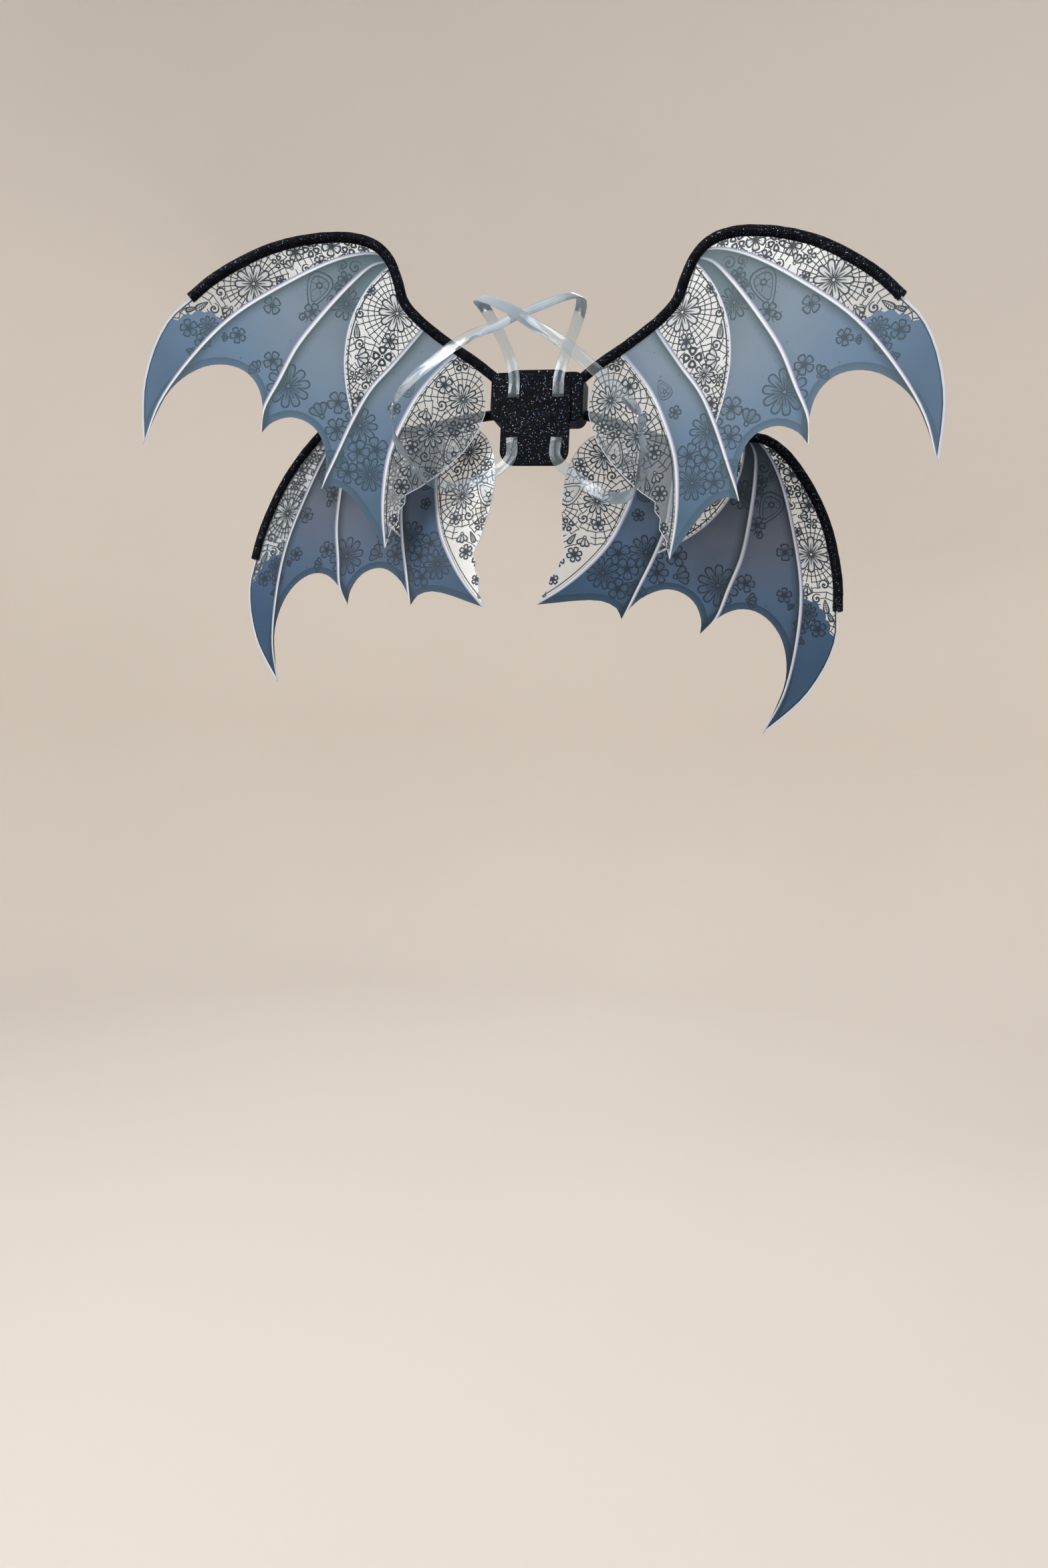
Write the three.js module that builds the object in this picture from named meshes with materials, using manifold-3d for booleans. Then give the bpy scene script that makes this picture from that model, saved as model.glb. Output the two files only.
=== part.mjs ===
// Two pairs of dragon wings on a harness of clear straps, in the form they have when worn.
// Millimetres, +Z up. The wearer faces -Y and the plate lies against the back, on the plane y = 0.
import * as THREE from "three";
import { mergeVertices } from "three/addons/utils/BufferGeometryUtils.js";
import Module from "manifold-3d";

// Fits
const CLEARANCE = 0.3;

// One wing, measured from its fan root, where the printed ribs meet
const CLAW_REACH = 296; // fan root to claw tip, outward
const WING_DEPTH = 361; // fan root to the lowest point, downward
const FILM_THICKNESS = 1;
const TUBE_DIAMETER = 13.5;

// How each pair of wings stands: where its frames plug in, and the angles in degrees
const UPPER_ROOT_SPREAD = 34; // half the distance between the two upper frames
const UPPER_ROOT_HEIGHT = 36;
const UPPER_ROOT_SETBACK = 12; // frame axis behind the plate's rear face
const UPPER_SWEEP = -16; // tips forward
const UPPER_TILT = -5;
const UPPER_TURN_RIGHT = 1.5;
const UPPER_TURN_LEFT = -1.5;
const LOWER_ROOT_SPREAD = 50;
const LOWER_ROOT_HEIGHT = 14;
const LOWER_ROOT_SETBACK = 26;
const LOWER_SWEEP = 15; // tips back
const LOWER_TILT = 9;
const LOWER_TURN_RIGHT = 46; // the frames are bent by hand, so the two sides differ
const LOWER_TURN_LEFT = 37;

// Back plate and the block behind it that holds the frames
const PLATE_WIDTH = 92;
const PLATE_HEIGHT = 124;
const PLATE_THICKNESS = 8;
const PLATE_CORNER = 20;
const BLOCK_MARGIN = 12; // material outside and behind the outermost frame axes
const BLOCK_ABOVE = 24; // material above the higher frame axes
const BLOCK_BELOW = 18; // material below the lower ones
const BLOCK_CORNER = 12;
const EDGE_ROUND = 1.5;

// Harness
const STRAP_WIDTH = 15;
const STRAP_THICKNESS = 1.2;
const CHEST_HALF_WIDTH = 156; // to the slider, under the arm
const CHEST_DEPTH = 154; // plate to the front of the chest
const SHOULDER_RISE = 127; // plate centre to the top of the shoulder
const WAIST_DROP = 101; // plate centre to the lowest run of the side strap
const SLIDER_OFFSET = 8.5; // one slider hangs this much higher, the other this much lower
const CROSSING_GAP = 2.4; // between the straps' faces where they cross
const STRAP_SEAT_SPREAD = 30; // half the distance between the strap ends on the plate
const STRAP_SEAT_LENGTH = 26; // how far an end lies on the plate

// Strap slider
const SLIDER_LENGTH = 20;
const SLIDER_BAR = 2.2;
const SLIDER_BEVEL = 0.4;

// The wing's outline as shares of its reach and depth
const TUBE_LINE = [
  { reach: -0.625, depth: 0.402 },
  { reach: -0.463, depth: 0.313 },
  { reach: -0.311, depth: 0.244 },
  { reach: -0.176, depth: 0.172 },
  { reach: -0.108, depth: 0.116 },
  { reach: -0.074, depth: 0.044 },
  { reach: -0.034, depth: -0.022 },
  { reach: 0.027, depth: -0.066 },
  { reach: 0.122, depth: -0.085 },
  { reach: 0.243, depth: -0.078 },
  { reach: 0.382, depth: -0.051 },
  { reach: 0.507, depth: -0.011 },
  { reach: 0.642, depth: 0.054 },
  { reach: 0.733, depth: 0.109 },
  { reach: 0.82, depth: 0.177 },
];
const CLAW_LINE = [
  { reach: 0.82, depth: 0.177 },
  { reach: 0.902, depth: 0.244 },
  { reach: 0.966, depth: 0.346 },
  { reach: 1.007, depth: 0.482 },
  { reach: 1.01, depth: 0.582 },
  { reach: 1, depth: 0.702 },
];
const OUTER_SCALLOP = [
  { reach: 1, depth: 0.702 },
  { reach: 0.949, depth: 0.59 },
  { reach: 0.895, depth: 0.504 },
  { reach: 0.821, depth: 0.443 },
  { reach: 0.733, depth: 0.404 },
  { reach: 0.642, depth: 0.395 },
  { reach: 0.568, depth: 0.413 },
  { reach: 0.514, depth: 0.457 },
  { reach: 0.486, depth: 0.529 },
  { reach: 0.491, depth: 0.626 },
];
const MIDDLE_SCALLOP = [
  { reach: 0.491, depth: 0.626 },
  { reach: 0.443, depth: 0.583 },
  { reach: 0.365, depth: 0.558 },
  { reach: 0.291, depth: 0.569 },
  { reach: 0.235, depth: 0.605 },
  { reach: 0.198, depth: 0.679 },
  { reach: 0.194, depth: 0.748 },
  { reach: 0.209, depth: 0.803 },
];
const INNER_SCALLOP = [
  { reach: 0.209, depth: 0.803 },
  { reach: 0.155, depth: 0.788 },
  { reach: 0.086, depth: 0.812 },
  { reach: 0.017, depth: 0.875 },
  { reach: -0.034, depth: 0.934 },
  { reach: -0.091, depth: 1 },
];
// Cut along the lace motifs, so it is a broken line
const LACE_CUT = [
  { reach: -0.091, depth: 1 },
  { reach: -0.114, depth: 0.93 },
  { reach: -0.145, depth: 0.895 },
  { reach: -0.142, depth: 0.859 },
  { reach: -0.169, depth: 0.831 },
  { reach: -0.169, depth: 0.8 },
  { reach: -0.236, depth: 0.765 },
];
const INNER_EDGE = [
  { reach: -0.236, depth: 0.765 },
  { reach: -0.345, depth: 0.69 },
  { reach: -0.455, depth: 0.58 },
  { reach: -0.505, depth: 0.46 },
  { reach: -0.463, depth: 0.313 },
];
const FILM_START = 1 / (TUBE_LINE.length - 1); // share of the tube line where the film begins
const BORE_END = 0.2; // share of the tube line that the plate's bore follows, past its mouth

// How finely the curves are cut
const TUBE_STEPS = 40;
const TUBE_SIDES = 10;
const BORE_STEPS = 12;
const CLAW_STEPS = 12;
const OUTER_SCALLOP_STEPS = 26;
const MIDDLE_SCALLOP_STEPS = 20;
const INNER_EDGE_STEPS = 10;
const SHOULDER_STRAP_STEPS = 66;
const SIDE_STRAP_STEPS = 40;

// The strap from one shoulder across the chest to the other side's slider. Places are shares of the
// chest's half width, the chest's depth and the shoulder's rise; facing points away from the body.
const SHOULDER_ROWS = [
  { across: -0.24, front: 0.02, up: 0.63, lift: 0, facing: [-0.1, 0.97, 0.2] },
  { across: -0.33, front: 0.11, up: 0.865, lift: 0, facing: [-0.2, 0.75, 0.62] },
  { across: -0.4, front: 0.28, up: 1, lift: 0, facing: [-0.35, 0.3, 0.88] },
  { across: -0.41, front: 0.48, up: 1.01, lift: 0, facing: [-0.4, -0.3, 0.86] },
  { across: -0.32, front: 0.6, up: 0.95, lift: 0, facing: [-0.28, -0.65, 0.7] },
  { across: -0.18, front: 0.72, up: 0.84, lift: 0, facing: [-0.12, -0.8, 0.58] },
  { across: 0, front: 0.86, up: 0.685, lift: 0, facing: [0, -0.88, 0.47] },
  { across: 0.14, front: 0.925, up: 0.56, lift: 0.1, facing: [0.08, -0.93, 0.36] },
  { across: 0.3, front: 0.975, up: 0.45, lift: 0.2, facing: [0.14, -0.96, 0.24] },
  { across: 0.46, front: 1, up: 0.32, lift: 0.35, facing: [0.22, -0.97, 0.1] },
  { across: 0.62, front: 0.99, up: 0.17, lift: 0.5, facing: [0.36, -0.93, 0.04] },
  { across: 0.76, front: 0.96, up: 0.05, lift: 0.65, facing: [0.52, -0.85, 0] },
  { across: 0.88, front: 0.9, up: -0.065, lift: 0.8, facing: [0.7, -0.71, 0] },
];
// How far each row there moves off the body, or towards it, to let the other strap pass
const CROSSING_SHARES = { 5: 1, 6: 1, 7: 1 };
// The slider's centre, and how its strap runs and faces there
const SLIDER_PLACE = {
  across: 0.995,
  front: 0.79,
  up: -0.245,
  lift: 1,
  facing: [0.93, -0.33, 0],
  along: [0.12, 0.38, -0.92],
};
// From the slider round the side and back to the plate. Depths below the plate's centre are shares
// of the waist drop; twist turns the strap about its own line, in degrees.
const SIDE_ROWS = [
  { across: 1.01, front: 0.68, down: 0.54, lift: 1.2, twist: 20, facing: [0.97, -0.2, 0] },
  { across: 1.005, front: 0.6, down: 0.66, lift: 1.5, twist: 62, facing: [0.98, -0.1, 0] },
  { across: 0.98, front: 0.5, down: 0.79, lift: 1.7, twist: 70, facing: [0.99, 0.1, 0] },
  { across: 0.93, front: 0.375, down: 0.91, lift: 1.6, twist: 30, facing: [0.9, 0.42, 0] },
  { across: 0.83, front: 0.235, down: 0.99, lift: 1.2, twist: 0, facing: [0.7, 0.7, 0] },
  { across: 0.69, front: 0.11, down: 1, lift: 0.8, twist: 0, facing: [0.42, 0.9, 0] },
  { across: 0.51, front: 0.035, down: 0.89, lift: 0.4, twist: 0, facing: [0.15, 0.98, 0] },
  { across: 0.33, front: 0.01, down: 0.72, lift: 0, twist: 0, facing: [0, 1, 0] },
];

const wasm = await Module();
wasm.setup();

const TUBE_RADIUS = TUBE_DIAMETER / 2;
const degrees = THREE.MathUtils.degToRad;
const vector = ([x, y, z]) => new THREE.Vector3(x, y, z);

// Solids

// A closed geometry as a solid. A mirroring matrix would turn it inside out, so its faces are turned back.
function solidOf(geometry, matrix = new THREE.Matrix4()) {
  const bare = new THREE.BufferGeometry();
  bare.setAttribute("position", geometry.getAttribute("position").clone());
  if (geometry.index) bare.setIndex(geometry.index.clone());
  bare.applyMatrix4(matrix);
  const merged = mergeVertices(bare, 1e-4);
  const triVerts = new Uint32Array(merged.index.array);
  if (matrix.determinant() < 0) {
    for (let i = 0; i < triVerts.length; i += 3) {
      [triVerts[i], triVerts[i + 1]] = [triVerts[i + 1], triVerts[i]];
    }
  }
  const vertProperties = new Float32Array(merged.attributes.position.array);
  return new wasm.Manifold(new wasm.Mesh({ numProp: 3, vertProperties, triVerts }));
}

function geometryOf(solid) {
  const mesh = solid.getMesh();
  const positions = new Float32Array(mesh.numVert * 3);
  for (let i = 0; i < mesh.numVert; i++) {
    for (let axis = 0; axis < 3; axis++) {
      positions[3 * i + axis] = mesh.vertProperties[mesh.numProp * i + axis];
    }
  }
  const indexed = new THREE.BufferGeometry();
  indexed.setAttribute("position", new THREE.BufferAttribute(positions, 3));
  indexed.setIndex(new THREE.BufferAttribute(new Uint32Array(mesh.triVerts), 1));
  const geometry = indexed.toNonIndexed();
  geometry.computeVertexNormals();
  return geometry;
}

// A flat outline drawn in X and Z, given its thickness along Y from `front` to `front + depth`
function slab(shape, front, depth, bevel = 0) {
  const geometry = new THREE.ExtrudeGeometry(shape, {
    depth: depth - 2 * bevel,
    bevelEnabled: bevel > 0,
    bevelThickness: bevel,
    bevelSize: bevel,
    bevelOffset: -bevel,
    bevelSegments: 2,
    curveSegments: 8,
  });
  geometry.rotateX(Math.PI / 2);
  geometry.translate(0, front + depth - bevel, 0);
  return geometry;
}

function roundedRectangle(width, height, corner, centreX = 0, centreY = 0) {
  const [right, top] = [centreX + width / 2, centreY + height / 2];
  const [left, bottom] = [right - width, top - height];
  const shape = new THREE.Shape();
  shape.moveTo(left + corner, bottom);
  shape.lineTo(right - corner, bottom);
  shape.absarc(right - corner, bottom + corner, corner, -Math.PI / 2, 0);
  shape.lineTo(right, top - corner);
  shape.absarc(right - corner, top - corner, corner, 0, Math.PI / 2);
  shape.lineTo(left + corner, top);
  shape.absarc(left + corner, top - corner, corner, Math.PI / 2, Math.PI);
  shape.lineTo(left, bottom + corner);
  shape.absarc(left + corner, bottom + corner, corner, Math.PI, 1.5 * Math.PI);
  return shape;
}

// The wing in its own plane: X outward and Z up from the frame's root

const ROOT = TUBE_LINE[0];
const wingPoint = ({ reach, depth }) =>
  new THREE.Vector3((reach - ROOT.reach) * CLAW_REACH, 0, (ROOT.depth - depth) * WING_DEPTH);
const wingCurve = (rows) => new THREE.CatmullRomCurve3(rows.map(wingPoint), false, "centripetal");
const tubeCurve = wingCurve(TUBE_LINE);

// The film's leading edge runs along the tube's axis, moved outward by `grow`.
function leadingEdge(grow) {
  const points = [];
  for (let i = 0; i <= TUBE_STEPS; i++) {
    const t = FILM_START + ((1 - FILM_START) * i) / TUBE_STEPS;
    const tangent = tubeCurve.getTangent(t);
    const outward = new THREE.Vector3(-tangent.z, 0, tangent.x);
    points.push(tubeCurve.getPoint(t).addScaledVector(outward, grow));
  }
  return points;
}

function filmShape(grow = 0) {
  const outline = [
    ...leadingEdge(grow),
    ...wingCurve(CLAW_LINE).getPoints(CLAW_STEPS).slice(1),
    ...wingCurve(OUTER_SCALLOP).getPoints(OUTER_SCALLOP_STEPS).slice(1),
    ...wingCurve(MIDDLE_SCALLOP).getPoints(MIDDLE_SCALLOP_STEPS).slice(1),
    ...wingCurve(INNER_SCALLOP).getPoints(INNER_EDGE_STEPS).slice(1),
    ...LACE_CUT.slice(1).map(wingPoint),
    ...wingCurve(INNER_EDGE).getPoints(INNER_EDGE_STEPS).slice(1, -1),
  ];
  return new THREE.Shape(outline.map((p) => new THREE.Vector2(p.x, p.z)).reverse());
}

const filmGeometry = slab(filmShape(), -FILM_THICKNESS / 2, FILM_THICKNESS);

function roundBar(radius, curve, steps) {
  const section = new THREE.Shape();
  for (let i = 0; i < TUBE_SIDES; i++) {
    const angle = (2 * Math.PI * (i + 0.5)) / TUBE_SIDES;
    const corner = [radius * Math.cos(angle), radius * Math.sin(angle)];
    if (i === 0) section.moveTo(...corner);
    else section.lineTo(...corner);
  }
  return new THREE.ExtrudeGeometry(section, { extrudePath: curve, steps, bevelEnabled: false });
}

// The foam tube is slit to its axis along the inner side, and the film sits in the slit.
function tubeGeometry() {
  const slitWidth = FILM_THICKNESS + 2 * CLEARANCE;
  const slit = slab(filmShape(CLEARANCE), -slitWidth / 2, slitWidth);
  return geometryOf(solidOf(roundBar(TUBE_RADIUS, tubeCurve, TUBE_STEPS)).subtract(solidOf(slit)));
}

// Wings on their roots

const materials = {
  film: new THREE.MeshStandardMaterial({ color: 0x6f8299, roughness: 0.25, metalness: 0 }),
  tube: new THREE.MeshStandardMaterial({ color: 0x0d0e13, roughness: 0.8, metalness: 0 }),
  plate: new THREE.MeshStandardMaterial({ color: 0x111217, roughness: 0.85, metalness: 0 }),
  strap: new THREE.MeshStandardMaterial({ color: 0xcdd6de, roughness: 0.12, metalness: 0 }),
  slider: new THREE.MeshStandardMaterial({ color: 0xd6d9dc, roughness: 0.2, metalness: 0.9 }),
};

const wings = new THREE.Group();
wings.name = "dragon_wings";

function named(name, geometry, material, parent = wings) {
  const mesh = new THREE.Mesh(geometry, material);
  mesh.name = name;
  parent.add(mesh);
  return mesh;
}

const PAIRS = {
  upper: {
    spread: UPPER_ROOT_SPREAD,
    height: UPPER_ROOT_HEIGHT,
    setback: UPPER_ROOT_SETBACK,
    sweep: UPPER_SWEEP,
    tilt: UPPER_TILT,
    turn: { left: UPPER_TURN_LEFT, right: UPPER_TURN_RIGHT },
  },
  lower: {
    spread: LOWER_ROOT_SPREAD,
    height: LOWER_ROOT_HEIGHT,
    setback: LOWER_ROOT_SETBACK,
    sweep: LOWER_SWEEP,
    tilt: LOWER_TILT,
    turn: { left: LOWER_TURN_LEFT, right: LOWER_TURN_RIGHT },
  },
};
const SIDES = { left: -1, right: 1 };

// Every wing is the same piece, turned in its plane, tilted, then swept about the vertical.
const frames = [];
for (const [level, pair] of Object.entries(PAIRS)) {
  for (const [side, sign] of Object.entries(SIDES)) {
    const half = new THREE.Group();
    half.scale.x = sign;
    const frame = new THREE.Group();
    frame.position.set(pair.spread, PLATE_THICKNESS + pair.setback, pair.height);
    frame.rotation.set(degrees(-pair.tilt), degrees(pair.turn[side]), degrees(pair.sweep), "ZXY");
    half.add(frame);
    wings.add(half);
    named(`wing_film_${level}_${side}`, filmGeometry, materials.film, frame);
    named(`wing_tube_${level}_${side}`, tubeGeometry(), materials.tube, frame);
    frames.push(frame);
  }
}
wings.updateMatrixWorld(true);

// Back plate

// Each frame plugs into a bore of its own shape, a little longer and wider than the tube's end.
function boreCurve() {
  const start = tubeCurve.getPoint(0);
  const back = tubeCurve.getTangent(0).multiplyScalar(-CLEARANCE);
  const points = [start.add(back)];
  for (let i = 1; i <= BORE_STEPS; i++) {
    points.push(tubeCurve.getPoint((BORE_END * i) / BORE_STEPS));
  }
  return new THREE.CatmullRomCurve3(points, false, "centripetal");
}

function plateGeometry() {
  const rootRows = Object.values(PAIRS);
  const reach = Math.max(...rootRows.map((pair) => pair.spread)) + BLOCK_MARGIN;
  const top = Math.max(...rootRows.map((pair) => pair.height)) + BLOCK_ABOVE;
  const bottom = Math.min(...rootRows.map((pair) => pair.height)) - BLOCK_BELOW;
  const rear = Math.max(...rootRows.map((pair) => pair.setback)) + BLOCK_MARGIN;
  const plate = roundedRectangle(PLATE_WIDTH, PLATE_HEIGHT, PLATE_CORNER);
  const block = roundedRectangle(2 * reach, top - bottom, BLOCK_CORNER, 0, (top + bottom) / 2);
  const overlap = PLATE_THICKNESS / 2;
  let solid = solidOf(slab(plate, 0, PLATE_THICKNESS, EDGE_ROUND));
  solid = solid.add(solidOf(slab(block, PLATE_THICKNESS - overlap, rear + overlap, EDGE_ROUND)));
  const bore = roundBar(TUBE_RADIUS + CLEARANCE, boreCurve(), BORE_STEPS);
  for (const frame of frames) {
    solid = solid.subtract(solidOf(bore, frame.matrixWorld));
  }
  return geometryOf(solid);
}
named("back_plate", plateGeometry(), materials.plate);

// Straps

// A flat strap lofted through stations, each with its centre, its facing and a twist about its line.
function ribbon(stations) {
  const positions = [];
  const index = [];
  stations.forEach(({ point, facing, twist }, i) => {
    const before = stations[Math.max(i - 1, 0)].point;
    const after = stations[Math.min(i + 1, stations.length - 1)].point;
    const along = after.clone().sub(before).normalize();
    const across = along.clone().cross(facing).normalize().applyAxisAngle(along, degrees(twist));
    const outward = across.clone().cross(along);
    for (const [a, b] of [[1, 1], [-1, 1], [-1, -1], [1, -1]]) {
      const corner = point.clone();
      corner.addScaledVector(across, (a * STRAP_WIDTH) / 2);
      corner.addScaledVector(outward, (b * STRAP_THICKNESS) / 2);
      positions.push(...corner.toArray());
    }
    if (i === 0) return;
    const [p, q] = [4 * i - 4, 4 * i];
    for (let k = 0; k < 4; k++) {
      const m = (k + 1) % 4;
      index.push(p + k, q + k, q + m, p + k, q + m, p + m);
    }
  });
  const last = positions.length / 3 - 4;
  index.push(0, 1, 2, 0, 2, 3, last, last + 2, last + 1, last, last + 3, last + 2);
  const indexed = new THREE.BufferGeometry();
  indexed.setAttribute("position", new THREE.Float32BufferAttribute(positions, 3));
  indexed.setIndex(index);
  return geometryOf(solidOf(indexed));
}

// Rows become stations along a smooth line; facing and twist follow along.
function stationsAlong(rows, steps) {
  const line = new THREE.CatmullRomCurve3(rows.map((row) => row.point), false, "centripetal");
  const turn = new THREE.CatmullRomCurve3(rows.map((row) => row.facing), false, "centripetal");
  const stations = [];
  for (let i = 0; i <= steps; i++) {
    const share = (i / steps) * (rows.length - 1);
    const low = Math.min(Math.floor(share), rows.length - 2);
    const twist = THREE.MathUtils.lerp(rows[low].twist, rows[low + 1].twist, share - low);
    stations.push({ point: line.getPoint(i / steps), facing: turn.getPoint(i / steps).normalize(), twist });
  }
  return stations;
}

// A strap lies on the plate's front with its face this far before the plate.
const SEAT_Y = -(CLEARANCE + STRAP_THICKNESS / 2);
const seatRow = (x, z) => ({ point: new THREE.Vector3(x, SEAT_Y, z), facing: vector([0, 1, 0]), twist: 0 });

// Everything round one slider. `sign` is the side it hangs on.
function harnessSide(side, sign) {
  const lifted = -sign * SLIDER_OFFSET;
  const place = (row, height) =>
    vector([sign * row.across * CHEST_HALF_WIDTH, -row.front * CHEST_DEPTH, height + row.lift * lifted]);
  const faced = (row) => vector(row.facing).multiply(new THREE.Vector3(sign, 1, 1)).normalize();

  const centre = place(SLIDER_PLACE, SLIDER_PLACE.up * SHOULDER_RISE);
  const along = vector(SLIDER_PLACE.along).multiply(new THREE.Vector3(sign, 1, 1)).normalize();
  const across = along.clone().cross(faced(SLIDER_PLACE)).normalize();
  const outward = across.clone().cross(along);
  const ride = SLIDER_BAR / 2 + CLEARANCE + STRAP_THICKNESS; // strap line to the slider's middle plane
  const at = (length, height) => ({
    point: centre.clone().addScaledVector(along, length).addScaledVector(outward, height),
    facing: outward.clone(),
    twist: 0,
  });
  const [edge, half] = [SLIDER_LENGTH / 2 - SLIDER_BAR, SLIDER_BAR / 2];
  const behind = SLIDER_LENGTH / 2 + 2 * STRAP_THICKNESS;

  // Over one shoulder and across the chest, then behind the first bar, over the middle one, behind the last
  const plateTop = PLATE_HEIGHT / 2 - PLATE_CORNER / 2;
  const rows = [
    seatRow(-sign * STRAP_SEAT_SPREAD, plateTop - STRAP_SEAT_LENGTH),
    seatRow(-sign * STRAP_SEAT_SPREAD, plateTop),
  ];
  SHOULDER_ROWS.forEach((row, i) => {
    const facing = faced(row);
    const point = place(row, row.up * SHOULDER_RISE);
    const over = ((CROSSING_SHARES[i] ?? 0) * sign * (STRAP_THICKNESS + CROSSING_GAP)) / 2;
    rows.push({ point: point.addScaledVector(facing, over), facing, twist: 0 });
  });
  rows.push(at(-behind, -ride));
  const shoulder = stationsAlong(rows, SHOULDER_STRAP_STEPS);
  shoulder.push(at(-edge, -ride), at(-half, ride), at(half, ride), at(edge, -ride), at(behind, -ride));
  named(`shoulder_strap_${side}`, ribbon(shoulder), materials.strap);

  // On from the slider, twisted, round the side to the plate's lower end
  const plateFoot = PLATE_CORNER / 2 - PLATE_HEIGHT / 2;
  const sideRows = [at(behind + CLEARANCE + 3 * STRAP_THICKNESS, -ride)];
  for (const row of SIDE_ROWS) {
    sideRows.push({ point: place(row, -row.down * WAIST_DROP), facing: faced(row), twist: sign * row.twist });
  }
  sideRows.push(seatRow(sign * STRAP_SEAT_SPREAD, plateFoot));
  sideRows.push(seatRow(sign * STRAP_SEAT_SPREAD, plateFoot + STRAP_SEAT_LENGTH));
  const round = [at(behind + CLEARANCE, -ride), ...stationsAlong(sideRows, SIDE_STRAP_STEPS)];
  named(`side_strap_${side}`, ribbon(round), materials.strap);

  // The slider: a frame with a middle bar
  const openWidth = STRAP_WIDTH + 4 * CLEARANCE;
  const outline = roundedRectangle(openWidth + 2 * SLIDER_BAR, SLIDER_LENGTH, SLIDER_BAR);
  const openLength = (SLIDER_LENGTH - 3 * SLIDER_BAR) / 2;
  for (const end of [-1, 1]) {
    const middle = (end * (openLength + SLIDER_BAR)) / 2;
    outline.holes.push(roundedRectangle(openWidth, openLength, SLIDER_BAR / 3, 0, middle));
  }
  const slider = new THREE.ExtrudeGeometry(outline, {
    depth: SLIDER_BAR - 2 * SLIDER_BEVEL,
    bevelThickness: SLIDER_BEVEL,
    bevelSize: SLIDER_BEVEL,
    bevelOffset: -SLIDER_BEVEL,
    bevelSegments: 1,
    curveSegments: 2,
  });
  slider.translate(0, 0, SLIDER_BEVEL - SLIDER_BAR / 2);
  const mesh = named(`slider_${side}`, slider, materials.slider);
  mesh.position.copy(centre);
  mesh.setRotationFromMatrix(new THREE.Matrix4().makeBasis(across, along, outward.clone()));
}
for (const [side, sign] of Object.entries(SIDES)) harnessSide(side, sign);

export default wings;
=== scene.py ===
"""Two pairs of dragon wings on a harness of clear straps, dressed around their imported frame.

The print of a wing is drawn once, flat, in the print plane: the point where the ribs meet is the origin,
u runs outward, v runs down, and lengths there are in millimetres. Everything in the scene is in metres.
"""

import math

import bmesh
import bpy
from mathutils import Matrix, Vector
from mathutils.geometry import delaunay_2d_cdt


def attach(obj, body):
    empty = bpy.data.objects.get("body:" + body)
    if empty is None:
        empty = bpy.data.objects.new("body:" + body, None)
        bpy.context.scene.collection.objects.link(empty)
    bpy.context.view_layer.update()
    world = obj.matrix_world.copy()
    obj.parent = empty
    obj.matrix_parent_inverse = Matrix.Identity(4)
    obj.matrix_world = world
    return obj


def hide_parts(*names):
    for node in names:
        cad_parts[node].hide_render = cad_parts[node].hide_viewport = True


bl_info = {
    "name": "Dragon Wings",
    "version": (1, 0, 0),
    "blender": (4, 5, 0),
    "location": "View3D > Sidebar > Dragon Wings",
    "description": "Dresses printed film wings, glitter foam frames and their clear harness",
    "category": "Add Mesh",
}

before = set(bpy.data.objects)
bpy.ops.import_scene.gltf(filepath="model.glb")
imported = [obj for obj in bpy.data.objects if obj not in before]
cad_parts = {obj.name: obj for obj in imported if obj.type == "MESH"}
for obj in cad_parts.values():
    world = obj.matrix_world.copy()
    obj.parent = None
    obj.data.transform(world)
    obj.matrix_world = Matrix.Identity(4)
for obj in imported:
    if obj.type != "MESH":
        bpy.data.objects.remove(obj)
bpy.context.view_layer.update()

MM = 0.001
BODY = "root"

# Where the wings stand: how the frame of each pair plugs in, in millimetres and degrees

SIDES = {"left": -1, "right": 1}
WING_PLACES = {
    "upper": {"root": (34, 20, 36), "sweep": -16, "tilt": -5, "turn": {"left": -1.5, "right": 1.5}},
    "lower": {"root": (50, 34, 14), "sweep": 15, "tilt": 9, "turn": {"left": 37, "right": 46}},
}
WINGS = [(level, side) for level in WING_PLACES for side in SIDES]
CLAW_REACH = 296
WING_DEPTH = 361
TUBE_DIAMETER = 13.5

# The tube's axis as shares of the reach and the depth, from its plugged end to its cut end
TUBE_LINE = [
    (-0.625, 0.402), (-0.463, 0.313), (-0.311, 0.244), (-0.176, 0.172), (-0.108, 0.116),
    (-0.074, 0.044), (-0.034, -0.022), (0.027, -0.066), (0.122, -0.085), (0.243, -0.078),
    (0.382, -0.051), (0.507, -0.011), (0.642, 0.054), (0.733, 0.109), (0.82, 0.177),
]
FRAME_ROOT = Vector((TUBE_LINE[0][0] * CLAW_REACH, TUBE_LINE[0][1] * WING_DEPTH))

# Corners of the film's cut line, in the print plane
CLAW_TIP = (296, 253)
OUTER_TIP = (145, 226)
MIDDLE_TIP = (62, 290)
INNER_TIP = (-27, 361)
TUBE_END = (243, 64)

# The printed ribs: points along each, and its half width at the root, the middle and the tip
RIBS = {
    "claw": {
        "line": [(-3, -14), (20, -14), (62, -1), (126, 35.5), (189, 81), (238, 136), (277, 197),
                 (296, 254)],
        "half": (1.2, 2.7, 0.9),
    },
    "outer": {
        "line": [(-8, -7), (12, 0), (36, 22), (78, 73), (105, 112), (125, 155), (143, 195), (145, 226)],
        "half": (1.2, 3.1, 1.2),
    },
    "border": {
        "line": [(-10, -2), (3, 12), (20, 36), (36, 75), (41, 120), (36, 160), (26, 197)],
        "half": (0.8, 1.5, 0.9),
    },
    "middle": {
        "line": [(-66, 62), (-54, 80), (-23, 121), (5, 156), (26, 197), (46, 247), (59, 280), (62, 290)],
        "half": (2.4, 2.7, 0.9),
    },
    "inner": {
        "line": [(-112, 92), (-90, 115), (-62, 150), (-41, 190), (-25, 235), (-20, 280), (-21, 320),
                 (-27, 361)],
        "half": (2.6, 3.2, 1.3),
    },
}
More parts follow.
